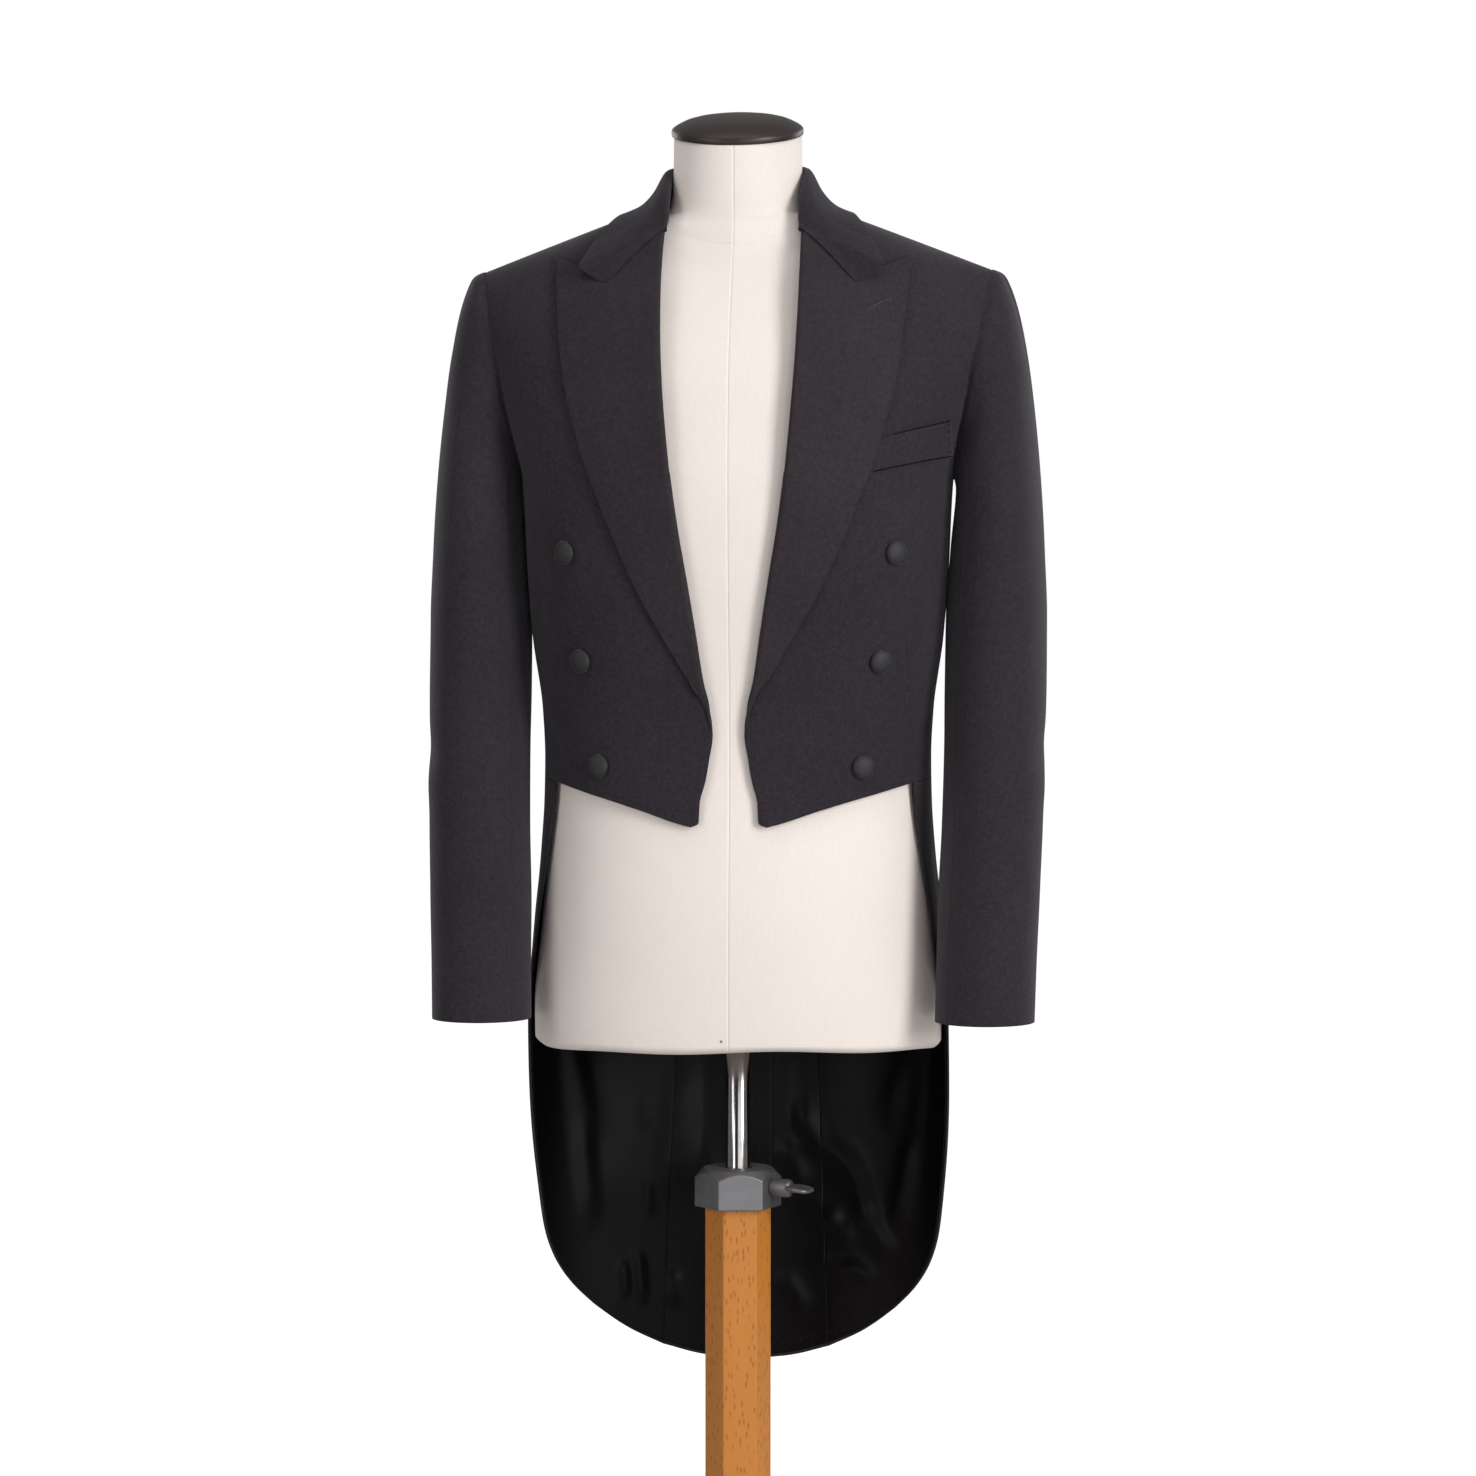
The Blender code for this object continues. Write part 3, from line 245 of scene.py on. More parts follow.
coat = {
    "armpit": 1.280,
    "upperSpan": 0.300,  # levels from the armpit to the shoulder ridge
    "shoulderTop": 1.463,
    "shoulderX": 0.222,
    "shoulderSlope": 0.389,
    "shoulderRound": 0.030,
    "neckPointX": 0.080,
    "armholeFront": 0.053,
    "armholeBack": 0.066,
    "armholeOver": 0.145,
    "frontSeamTurn": 150.0,
    "backSeamTurn": 255.0,
    "sideSeam": 85.0,
    "skirtFront": 64.0,
    "backSeam": 167.0,
    "waistAtSide": 1.0210,
    "waistAtBack": 1.0300,
    "yoke": 1.320,
    "tailPoint": 0.485,
    # height, half width, front depth, back depth, squareness
    "sections": [
        (0.480, 0.1820, 0.106, 0.104, 2.2),
        (0.600, 0.1850, 0.110, 0.108, 2.2),
        (0.720, 0.1865, 0.115, 0.113, 2.2),
        (0.805, 0.1857, 0.118, 0.116, 2.2),
        (0.890, 0.1800, 0.118, 0.112, 2.2),
        (0.953, 0.1740, 0.114, 0.101, 2.2),
        (1.000, 0.1707, 0.110, 0.092, 2.2),
        (1.038, 0.1700, 0.108, 0.087, 2.2),
        (1.080, 0.1720, 0.110, 0.088, 2.2),
        (1.143, 0.1805, 0.117, 0.096, 2.3),
        (1.200, 0.1850, 0.124, 0.105, 2.3),
        (1.280, 0.1890, 0.130, 0.116, 2.4),
        (1.316, 0.1980, 0.132, 0.122, 2.5),
        (1.340, 0.2060, 0.133, 0.127, 2.5),
        (1.376, 0.2165, 0.133, 0.129, 2.5),
        (1.412, 0.2255, 0.131, 0.130, 2.5),
        (1.460, 0.2340, 0.128, 0.136, 2.4),
        (1.520, 0.2415, 0.125, 0.158, 2.4),
        (1.580, 0.2465, 0.125, 0.165, 2.3),
    ],
}
coatSection = smoothTable(coat["sections"])


def ridgeHeight(x):
    top = math.hypot(coat["shoulderX"], coat["shoulderRound"])
    return coat["shoulderTop"] + coat["shoulderSlope"] * (top - np.hypot(x, coat["shoulderRound"]))


def coatSurface(angle, level):
    # angle 0 is the centre front and 180 the centre back; above the armpit the levels climb the shoulders
    angle, level = np.broadcast_arrays(np.asarray(angle, float), np.asarray(level, float))
    halfWidth, front, back, square = np.moveaxis(coatSection(level), -1, 0)
    side = np.sin(np.radians(angle))
    ahead = np.cos(np.radians(angle))
    reach = (np.abs(side) ** square + np.abs(ahead) ** square) ** (-1.0 / square)
    x = halfWidth * side * reach
    y = -np.where(ahead > 0, front, back) * ahead * reach
    climb = np.maximum(level - coat["armpit"], 0.0) / coat["upperSpan"] * math.pi / 2
    height = coat["armpit"] + (ridgeHeight(x) - coat["armpit"]) * np.sin(climb)
    z = np.where(level > coat["armpit"], height, level)
    return np.stack((x, y * np.cos(climb), z), axis=-1)


def unit(vectors):
    return vectors / np.maximum(np.linalg.norm(vectors, axis=-1, keepdims=True), 1e-12)


def coatNormal(angle, level):
    around = coatSurface(angle + 0.4, level) - coatSurface(angle - 0.4, level)
    upward = coatSurface(angle, level + 0.001) - coatSurface(angle, level - 0.001)
    return unit(np.cross(around, upward))


def onFront(x, z):
    # angle and level of the front's point that is seen at x, z
    x, z = np.asarray(x, float), np.asarray(z, float)
    share = np.clip((z - coat["armpit"]) / (ridgeHeight(x) - coat["armpit"]), 0.0, 1.0)
    level = np.where(z > coat["armpit"], coat["armpit"] + coat["upperSpan"] * np.arcsin(share) * 2 / math.pi,
                     z)
    halfWidth, front, back, square = np.moveaxis(coatSection(level), -1, 0)
    side = np.minimum(1.0, x / halfWidth)
    ahead = (1.0 - side ** square) ** (1.0 / square)
    return np.stack((np.degrees(np.arctan2(side, ahead)), level), axis=-1)


def armhole(turn):
    # angle and level of the armhole at a turn: 0 is the top, 90 the front
    turn = np.asarray(turn, float) % 360.0
    swing = np.radians(np.maximum(turn, 1.0))
    share = (1.0 + np.cos(swing)) / 2
    level = coat["armpit"] + coat["upperSpan"] * np.arcsin(share) * 2 / math.pi
    halfWidth, front, back, square = np.moveaxis(coatSection(level), -1, 0)
    fall = np.sqrt(np.maximum(1e-9, 1.0 - share * share))
    forward = turn <= 180.0
    ahead = np.where(forward, coat["armholeFront"] * np.sin(swing) / (front * fall),
                     coat["armholeBack"] * np.abs(np.sin(swing)) / (back * fall))
    # the seam runs out to the shoulder's end at the top
    over = 1.0 - smoothStep((np.minimum(turn, 360.0 - turn) - 40.0) / 55.0)
    ahead = ahead * (1.0 - coat["armholeOver"] * over)
    side = (1.0 - ahead ** square) ** (1.0 / square)
    angle = np.degrees(np.arctan2(side, ahead))
    return np.stack((np.where(forward, angle, 180.0 - angle), level), axis=-1)


def alongArmhole(start, end, count):
    return armhole(np.linspace(start, end, count + 1))


def walk(places, count):
    # places at even steps along a smooth curve that lies on the coat
    fine = spread(places, 60)
    points = coatSurface(fine[:, 0], fine[:, 1])
    lengths = np.concatenate(([0.0], np.cumsum(np.linalg.norm(np.diff(points, axis=0), axis=1))))
    read = smoothTable(np.column_stack((lengths, fine)))
    return read(np.linspace(0.0, lengths[-1], count + 1))


def waistSeam(angle):
    low = panelLines["frontHem"][-1][1]
    share = (angle - coat["skirtFront"]) / (coat["sideSeam"] - coat["skirtFront"])
    ahead = low + (coat["waistAtSide"] - low) * share
    share = (angle - coat["sideSeam"]) / (coat["backSeam"] - coat["sideSeam"])
    behind = coat["waistAtSide"] + (coat["waistAtBack"] - coat["waistAtSide"]) * share
    return np.stack((angle, np.where(angle < coat["sideSeam"], ahead, behind)), axis=-1)


panelLines = {
    # x, z up the front's edge and its roll line to the neck point
    "frontEdgeLower": [(0.0325, 0.9810), (0.0255, 0.9850), (0.0250, 1.0000), (0.0200, 1.0200),
                       (0.0165, 1.0400),
                       (0.0135, 1.0600), (0.0165, 1.0830), (0.0218, 1.1030), (0.0273, 1.1430),
                       (0.0337, 1.1855),
                       (0.0443, 1.2490), (0.0485, 1.2800)],
    "frontEdgeUpper": [(0.0485, 1.2800), (0.0520, 1.3120), (0.0558, 1.3540), (0.0585, 1.4000),
                       (0.0597, 1.4390),
                       (0.0600, 1.4760), (0.0645, 1.4970), (0.0710, 1.5090)],
    "frontHem": [(0.0325, 0.9810), (0.0443, 0.9840), (0.0780, 0.9950), (0.1160, 1.0060), (0.1540, 1.0165)],
    # angle, height
    "sideSeamMiddle": (82.0, 1.1500),
    "tailEdge": [(64.0, 1.0165), (66.0, 0.9800), (72.0, 0.9000), (86.0, 0.8000), (96.0, 0.7200),
                 (104.0, 0.6600),
                 (110.0, 0.6120), (116.0, 0.5860), (124.0, 0.5620), (134.0, 0.5380)],
    "tailHem": [(134.0, 0.5380), (146.0, 0.5140), (156.0, 0.4990)],
    "tailHemMiddle": (168.0, 0.4890),
    "pleat": [(156.0, 0.4990), (159.0, 0.7000), (163.0, 0.9000), (167.0, 1.0300)],
    "backSeam": [(167.0, 1.0300), (162.0, 1.1200), (151.0, 1.2200), (136.0, 1.2950)],
    "backNeck": [(166.5, 1.5400), (171.0, 1.5150)],
}


# Panels: four edges as places on the coat, read at any share across and up

def readLine(line, share):
    steps = np.linspace(0.0, 1.0, len(line))
    return np.stack([np.interp(share, steps, line[:, k]) for k in range(line.shape[1])], axis=-1)


def patchAt(edges, across, up):
    bottom, top, left, right = edges
    u = across[..., None]
    v = up[..., None]
    place = (1 - v) * readLine(bottom, across) + v * readLine(top, across)
    place += (1 - u) * readLine(left, up) + u * readLine(right, up)
    place -= (1 - u) * ((1 - v) * bottom[0] + v * top[0])
    place -= u * ((1 - v) * bottom[-1] + v * top[-1])
    return place


fineness = 12  # readings of an edge for each step of its solid


def stack(*lines):
    return np.concatenate([lines[0]] + [line[1:] for line in lines[1:]])


def shoulderPlace(x):
    return onFront(x, float(ridgeHeight(x)))


def sideSeamLine():
    middle = panelLines["sideSeamMiddle"]
    return spread([(coat["sideSeam"], coat["waistAtSide"]), middle, armhole(coat["frontSeamTurn"])],
                  8 * fineness)


def backSeamLine():
    return spread(panelLines["backSeam"] + [tuple(armhole(coat["backSeamTurn"]))], 8 * fineness)


def frontEdges():
    lower = onFront(*spread(panelLines["frontEdgeLower"], 8 * fineness).T)
    neck = shoulderPlace(coat["neckPointX"])
    path = [tuple(onFront(x, z)) for x, z in panelLines["frontEdgeUpper"]] + [tuple(neck)]
    left = stack(lower, walk(path, 10 * fineness))
    right = stack(sideSeamLine(), alongArmhole(coat["frontSeamTurn"], 0.0, 10 * fineness))
    hem = [tuple(onFront(x, z)) for x,
           z in panelLines["frontHem"]] + [(coat["sideSeam"], coat["waistAtSide"])]
    return spread(hem, 11 * fineness), spread([left[-1], right[-1]], 11 * fineness), left, right


def sideEdges():
    top = alongArmhole(coat["frontSeamTurn"], coat["backSeamTurn"], 7 * fineness)
    bottom = waistSeam(np.linspace(coat["sideSeam"], coat["backSeam"], 7 * fineness + 1))
    return bottom, top, sideSeamLine(), backSeamLine()


def centreBack(low, high, count):
    return np.column_stack((np.full(count + 1, 180.0), np.linspace(low, high, count + 1)))


def backEdges():
    highest = armhole(0.0)
    left = stack(spread(panelLines["pleat"], 10 * fineness), backSeamLine(),
                 alongArmhole(coat["backSeamTurn"], 360.0, 7 * fineness))
    left[-1] = (180.0 - highest[0], highest[1])
    neckLevel = coat["armpit"] + 0.75 * coat["upperSpan"]
    right = stack(centreBack(coat["tailPoint"], coat["waistAtBack"], 10 * fineness),
                  centreBack(coat["waistAtBack"], coat["yoke"], 8 * fineness),
                  centreBack(coat["yoke"], neckLevel, 7 * fineness))
    bottom = spread([left[0], panelLines["tailHemMiddle"], right[0]], 7 * fineness)
    neck = (180.0 - shoulderPlace(coat["neckPointX"])[0], coat["armpit"] + coat["upperSpan"])
    shoulder = spread([left[-1], neck], 4 * fineness)
    opening = walk([neck] + panelLines["backNeck"] + [tuple(right[-1])], 3 * fineness)
    return bottom, stack(shoulder, opening), left, right


def skirtEdges():
    right = spread(panelLines["pleat"], 10 * fineness)
    left = spread(panelLines["tailEdge"], 10 * fineness)[::-1]
    bottom = spread(panelLines["tailHem"], 8 * fineness)
    top = waistSeam(np.linspace(coat["skirtFront"], coat["backSeam"], 8 * fineness + 1))
    return bottom, top, left, right


lapel = {
    "rollLine": [(0.0143, 1.0660), (0.0158, 1.0850), (0.0210, 1.1040), (0.0263, 1.1430), (0.0327, 1.1855),
                 (0.0433, 1.2490),
                 (0.0510, 1.3120), (0.0548, 1.3540), (0.0575, 1.4000), (0.0587, 1.4390), (0.0590, 1.4960)],
    "edge": [(0.0154, 1.0650), (0.0192, 1.0810), (0.0333, 1.1060), (0.0560, 1.1450), (0.0790, 1.1870),
             (0.1090, 1.2570),
             (0.1270, 1.3070), (0.1420, 1.3680), (0.1484, 1.4180), (0.1534, 1.4720)],
    "gorgeTop": (0.0590, 1.4960),
    "gorgeEnd": (0.1056, 1.4475),
    "peakTip": (0.1534, 1.4720),
    "tuckUnder": 0.0010,  # how far the gorge edge dips under the collar
    "riseLow": 0.0012,  # outer face over the chest where the roll starts
    "rise": 0.0033,
    "roll": 0.0030,
    "bow": 0.0012,
    "facingDepth": 0.012,  # how far the roll runs on inside the front
}


def lapelEdges():
    rows = 20 * fineness
    left = onFront(*spread(lapel["rollLine"], rows).T)
    right = onFront(*spread(lapel["edge"], rows).T)
    top = stack(spread([lapel["gorgeTop"], lapel["gorgeEnd"]], 3 * fineness),
                spread([lapel["gorgeEnd"], lapel["peakTip"]], 3 * fineness))
    bottom = spread([lapel["rollLine"][0], lapel["edge"][0]], 6 * fineness)
    return onFront(*bottom.T), onFront(*top.T), left, right


welt = {
    "corners": [(0.1182, 1.2850), (0.1880, 1.3008), (0.1250, 1.3118), (0.1876, 1.3288)],
    "rise": 0.0024,
}


def weltEdges():
    lowIn, lowOut, highIn, highOut = welt["corners"]
    lines = [(lowIn, lowOut), (highIn, highOut), (lowIn, highIn), (lowOut, highOut)]
    return [onFront(*spread(line, 4 * fineness).T) for line in lines]

# Finishes

def newMaterial(name):
    made = bpy.data.materials.new(name)
    made.use_nodes = True
    tree = made.node_tree
    return made, tree, tree.nodes["Principled BSDF"]


def node(tree, kind, **values):
    made = tree.nodes.new(kind)
    for key, value in values.items():
        if key in made.inputs:
            made.inputs[key].default_value = value
        else:
            setattr(made, key, value)
    return made


def colorRamp(tree, fac, stops):
    ramp = tree.nodes.new("ShaderNodeValToRGB")
    for k, (place, color) in enumerate(stops):
        stop = ramp.color_ramp.elements[k] if k < 2 else ramp.color_ramp.elements.new(place)
        stop.position = place
        stop.color = tuple(color) + (1.0,)
    tree.links.new(fac, ramp.inputs["Fac"])
    return ramp.outputs["Color"]


def tinted(color, factor):
    return tuple(channel * factor for channel in color)


def addBumps(tree, shader, layers):
    # each layer is a height, its depth in metres and its strength
    before = None
    for height, distance, strength in layers:
        bump = node(tree, "ShaderNodeBump", Strength=strength, Distance=distance)
        tree.links.new(height, bump.inputs["Height"])
        if before:
            tree.links.new(before.outputs["Normal"], bump.inputs["Normal"])
        before = bump
    tree.links.new(before.outputs["Normal"], shader.inputs["Normal"])


def noiseOf(tree, coords, scale, detail=3.0, rough=0.5):
    made = node(tree, "ShaderNodeTexNoise", Scale=scale, Detail=detail, Roughness=rough)
    tree.links.new(coords, made.inputs["Vector"])
    return made.outputs["Fac"]


def wavesOf(tree, coords, scale, turn=(0, 0, 0), distortion=0.0):
    turned = node(tree, "ShaderNodeMapping", Rotation=[math.radians(part) for part in turn])
    tree.links.new(coords, turned.inputs["Vector"])
    made = node(tree, "ShaderNodeTexWave", Scale=scale, Distortion=distortion)
    made.inputs["Detail"].default_value = 1.0
    made.wave_type = "BANDS"
    made.bands_direction = "X"
    tree.links.new(turned.outputs["Vector"], made.inputs["Vector"])
    return made.outputs["Fac"]


def mixed(tree, first, second, share=0.5):
    made = node(tree, "ShaderNodeMath", operation="MULTIPLY_ADD")
    tree.links.new(first, made.inputs[0])
    made.inputs[1].default_value = share
    half = node(tree, "ShaderNodeMath", operation="MULTIPLY")
    tree.links.new(second, half.inputs[0])
    half.inputs[1].default_value = 1.0 - share
    tree.links.new(half.outputs[0], made.inputs[2])
    return made.outputs[0]


finishes = {
    # colour, roughness, sheen, sheen roughness, ribs per metre, rib turn, nap scale
    "coatWool": {"color": (0.0255, 0.0202, 0.0262), "rough": 0.94, "sheen": 0.12, "sheenRough": 0.45,
                 "ribs": 1150.0, "ribTurn": 62.0, "rib": 0.00012, "nap": 900.0, "napDepth": 0.00022,
                 "specular": 0.22},
    # the collar is the coat's own wool with darker colour and less sheen and shine: painted shade
    "collarWoolPaintedShade": {"color": (0.0215, 0.0170, 0.0225), "rough": 0.95, "sheen": 0.10, "sheenRough": 0.50,
                   "ribs": 1150.0, "ribTurn": 20.0, "rib": 0.00012, "nap": 800.0, "napDepth": 0.00026,
                   "specular": 0.16},
    "lapelSilk": {"color": (0.0285, 0.0222, 0.0272), "rough": 0.80, "sheen": 0.08, "sheenRough": 0.35,
                  "ribs": 1700.0, "ribTurn": 8.0, "rib": 0.00009, "nap": 1500.0, "napDepth": 0.00008,
                  "specular": 0.18},
    "buttonSilk": {"color": (0.0200, 0.0185, 0.0205), "rough": 0.62, "sheen": 0.20, "sheenRough": 0.35,
                   "ribs": 2300.0, "ribTurn": 0.0, "rib": 0.00010, "nap": 1500.0, "napDepth": 0.00006,
                   "specular": 0.40},
    "tailSatin": {"color": (0.0014, 0.0011, 0.0018), "rough": 0.42, "sheen": 0.0, "sheenRough": 0.30,
                  "ribs": 3200.0, "ribTurn": 0.0, "rib": 0.00003, "nap": 1200.0, "napDepth": 0.00004,
                  "specular": 0.16},
}


def darkCloth(name):
    look = finishes[name]
    made, tree, shader = newMaterial(name)
    place = tree.nodes.new("ShaderNodeTexCoord")
    body = place.outputs["Object"]
    flat = place.outputs["UV"]
    wear = noiseOf(tree, body, 9.0, 4.0)
    shade = colorRamp(tree, wear, [(0.30, tinted(look["color"], 0.88)), (0.70, tinted(look["color"], 1.12))])
    nap = noiseOf(tree, body, look["nap"], 2.0, 0.6)
    speck = colorRamp(tree, nap, [(0.35, (0.78, 0.78, 0.78)), (0.68, (1.22, 1.22, 1.22))])
    mottle = colorRamp(tree, noiseOf(tree, body, 260.0, 3.0, 0.65),
                       [(0.32, (0.80, 0.80, 0.80)), (0.68, (1.20, 1.20, 1.20))])
    fleece = node(tree, "ShaderNodeMix", data_type="RGBA", blend_type="MULTIPLY")
    fleece.inputs["Factor"].default_value = 1.0
    tree.links.new(speck, fleece.inputs["A"])
    tree.links.new(mottle, fleece.inputs["B"])
    both = node(tree, "ShaderNodeMix", data_type="RGBA", blend_type="MULTIPLY")
    both.inputs["Factor"].default_value = 1.0
    tree.links.new(shade, both.inputs["A"])
    tree.links.new(fleece.outputs["Result"], both.inputs["B"])
    tree.links.new(both.outputs["Result"], shader.inputs["Base Color"])
    ribs = wavesOf(tree, flat, look["ribs"] / math.tau, (0, 0, look["ribTurn"]), 0.6)
    addBumps(tree, shader, [(ribs, look["rib"], 0.6), (nap, look["napDepth"], 0.7)])
    shader.inputs["Roughness"].default_value = look["rough"]
    shader.inputs["Specular IOR Level"].default_value = look["specular"]
    shader.inputs["Sheen Weight"].default_value = look["sheen"]
    shader.inputs["Sheen Roughness"].default_value = look["sheenRough"]
    shader.inputs["Sheen Tint"].default_value = (0.95, 0.92, 1.0, 1.0)
    return made


def threadFinish(name, dark, light):
    made, tree, shader = newMaterial(name)
    body = tree.nodes.new("ShaderNodeTexCoord").outputs["Object"]
    shade = colorRamp(tree, noiseOf(tree, body, 700.0), [(0.3, dark), (0.7, light)])
    tree.links.new(shade, shader.inputs["Base Color"])
    addBumps(tree, shader, [(wavesOf(tree, body, 700.0, (0, 40, 30)), 0.0001, 0.5)])
    shader.inputs["Roughness"].default_value = 0.6
    shader.inputs["Specular IOR Level"].default_value = 0.12
    return made


linen = {
    "color": (0.868, 0.790, 0.738),
    "threads": 1500.0,  # a metre
    "rough": 0.92,
}


def linenFinish():
    made, tree, shader = newMaterial("formLinen")
    place = tree.nodes.new("ShaderNodeTexCoord")
    flat = place.outputs["UV"]
    body = place.outputs["Object"]
    warp = wavesOf(tree, flat, linen["threads"] / math.tau, (0, 0, 0), 0.8)
    weft = wavesOf(tree, flat, linen["threads"] / math.tau, (0, 0, 90), 0.8)
    weave = mixed(tree, warp, weft)
    slubPlace = node(tree, "ShaderNodeMapping", Scale=(1.0, 0.06, 1.0))
    tree.links.new(flat, slubPlace.inputs["Vector"])
    slubs = noiseOf(tree, slubPlace.outputs["Vector"], 900.0, 2.0)
    soil = noiseOf(tree, body, 5.0, 5.0)
    base = colorRamp(tree, mixed(tree, soil, slubs, 0.6), [(0.28, tinted(linen["color"], 0.93)),
                                                          (0.72, tinted(linen["color"], 1.04))])
    thread = colorRamp(tree, weave, [(0.25, (0.94, 0.94, 0.93)), (0.75, (1.0, 1.0, 1.0))])
    both = node(tree, "ShaderNodeMix", data_type="RGBA", blend_type="MULTIPLY")
    both.inputs["Factor"].default_value = 1.0
    tree.links.new(base, both.inputs["A"])
    tree.links.new(thread, both.inputs["B"])
    tree.links.new(both.outputs["Result"], shader.inputs["Base Color"])
    addBumps(tree, shader,
             [(weave, 0.00015, 0.5), (slubs, 0.00015, 0.5), (noiseOf(tree, body, 60.0), 0.0006, 0.25)])
    shader.inputs["Roughness"].default_value = linen["rough"]
    shader.inputs["Specular IOR Level"].default_value = 0.2
    shader.inputs["Sheen Weight"].default_value = 0.08
    return made


def woodFinish(name, light, dark, grain, rough, coatWeight, flecks):
    # grain runs along the post; flecks are the short dark rays of beech
    made, tree, shader = newMaterial(name)
    body = tree.nodes.new("ShaderNodeTexCoord").outputs["Object"]
    long = node(tree, "ShaderNodeMapping", Scale=grain)
    tree.links.new(body, long.inputs["Vector"])
    streak = noiseOf(tree, long.outputs["Vector"], 14.0, 6.0, 0.62)
    base = colorRamp(tree, streak, [(0.30, dark), (0.48, tinted(light, 0.93)), (0.72, light)])
    short = node(tree, "ShaderNodeMapping", Scale=flecks["stretch"])
    tree.links.new(body, short.inputs["Vector"])
    rays = node(tree, "ShaderNodeTexVoronoi", Scale=flecks["scale"], Randomness=1.0)
    tree.links.new(short.outputs["Vector"], rays.inputs["Vector"])
    ray = colorRamp(tree, rays.outputs["Distance"],
                    [(0.05, (1.0, 1.0, 1.0)), (flecks["size"], (0.0, 0.0, 0.0))])
    ink = node(tree, "ShaderNodeMix", data_type="RGBA")
    ink.inputs["B"].default_value = flecks["color"] + (1.0,)
    soft = node(tree, "ShaderNodeMath", operation="MULTIPLY")
    soft.inputs[1].default_value = flecks["depth"]
    tree.links.new(ray, soft.inputs[0])
    tree.links.new(soft.outputs[0], ink.inputs["Factor"])
    tree.links.new(base, ink.inputs["A"])
    tree.links.new(ink.outputs["Result"], shader.inputs["Base Color"])
    addBumps(tree, shader, [(streak, 0.00025, 0.3)])
    shader.inputs["Roughness"].default_value = rough
    shader.inputs["Coat Weight"].default_value = coatWeight
    shader.inputs["Coat Roughness"].default_value = 0.25
    return made


def metalFinish(name, color, rough, brush, scratch):
    made, tree, shader = newMaterial(name)
    body = tree.nodes.new("ShaderNodeTexCoord").outputs["Object"]
    long = node(tree, "ShaderNodeMapping", Scale=brush)
    tree.links.new(body, long.inputs["Vector"])
    lines = noiseOf(tree, long.outputs["Vector"], 160.0, 4.0, 0.6)
    cloud = noiseOf(tree, body, 70.0, 3.0)
    shade = colorRamp(tree, cloud, [(0.3, tinted(color, 0.82)), (0.7, tinted(color, 1.0))])
    tree.links.new(shade, shader.inputs["Base Color"])
    level = node(tree, "ShaderNodeMapRange")
    level.inputs["To Min"].default_value = rough * 0.75
    level.inputs["To Max"].default_value = rough * 1.3
    tree.links.new(mixed(tree, lines, cloud), level.inputs["Value"])
    tree.links.new(level.outputs["Result"], shader.inputs["Roughness"])
    addBumps(tree, shader, [(lines, scratch, 0.5)])
    shader.inputs["Metallic"].default_value = 1.0
    return made


finish = {name: darkCloth(name) for name in finishes}
finish["thread"] = threadFinish("blackThread", (0.0020, 0.0018, 0.0022), (0.0050, 0.0045, 0.0050))
finish["twist"] = threadFinish("silkTwist", (0.040, 0.037, 0.040), (0.075, 0.070, 0.075))
finish["linen"] = linenFinish()
finish["beech"] = woodFinish("beech", (0.620, 0.228, 0.030), (0.500, 0.162, 0.018), (1.0, 1.0, 0.05), 0.50,
                             0.06,
                             {"stretch": (1.0, 1.0, 0.30), "scale": 300.0, "size": 0.36,
                              "color": (0.27, 0.070, 0.009),
                              "depth": 0.85})
finish["capWood"] = woodFinish("capWood", (0.022, 0.013, 0.011), (0.014, 0.008, 0.007), (0.15, 1.0, 1.0),
                               0.45, 0.06,
                               {"stretch": (0.15, 1.0, 1.0), "scale": 90.0, "size": 0.05,
                                "color": (0.02, 0.012, 0.01),
                                "depth": 0.3})
finish["chrome"] = metalFinish("rodChrome", (0.38, 0.365, 0.36), 0.15, (1.0, 1.0, 0.02), 0.00001)
finish["aluminium"] = metalFinish("clampAluminium", (0.27, 0.265, 0.275), 0.55, (0.4, 0.4, 1.0), 0.00009)
finish["nailSteel"] = metalFinish("nailSteel", (0.20, 0.19, 0.18), 0.35, (1.0, 1.0, 1.0), 0.00002)
say("finishes are mixed")

# Sheets of cloth


def gridMesh(name, points, finishName, flip=False, round_=False):
    rows, columns = points.shape[:2]
    index = np.arange(rows * columns).reshape(rows, columns)
    if round_:
        index = np.concatenate((index, index[:, :1]), axis=1)
    a, b = index[:-1, :-1], index[:-1, 1:]
    d, c = index[1:, :-1], index[1:, 1:]
    quads = np.stack((a, d, c, b) if flip else (a, b, c, d), axis=-1).reshape(-1, 4)
    mesh = bpy.data.meshes.new(name)
    mesh.from_pydata(points.reshape(-1, 3).tolist(), [], quads.tolist())
    across = np.concatenate((np.zeros((rows, 1)), np.cumsum(np.linalg.norm(np.diff(points, axis=1), axis=-1),
                                                            axis=1)), axis=1)
    up = np.concatenate((np.zeros((1, columns)), np.cumsum(np.linalg.norm(np.diff(points, axis=0), axis=-1),
                                                           axis=0)), axis=0)
    flat = np.stack((across, up), axis=-1).reshape(-1, 2)
    layer = mesh.uv_layers.new(name="flatCut")
    layer.data.foreach_set("uv", flat[quads.reshape(-1)].astype(np.float32).ravel())
    mesh.shade_smooth()
    mesh.materials.append(finish[finishName])
    made = bpy.data.objects.new(name, mesh)
    bpy.context.scene.collection.objects.link(made)
    return made


def thicken(piece, thick, rounding=None):
    wall = piece.modifiers.new("wall", "SOLIDIFY")
    wall.thickness = thick
    wall.offset = -1.0
    edge = piece.modifiers.new("edge", "BEVEL")
    edge.width = rounding or cloth["edgeRound"]
    edge.segments = 2
    edge.limit_method = "ANGLE"
    edge.angle_limit = math.radians(50.0)
    return piece


def place(piece, body, slotName=None, *nodes):
    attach(piece, body)
    if nodes:
        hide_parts(*nodes)
    return piece


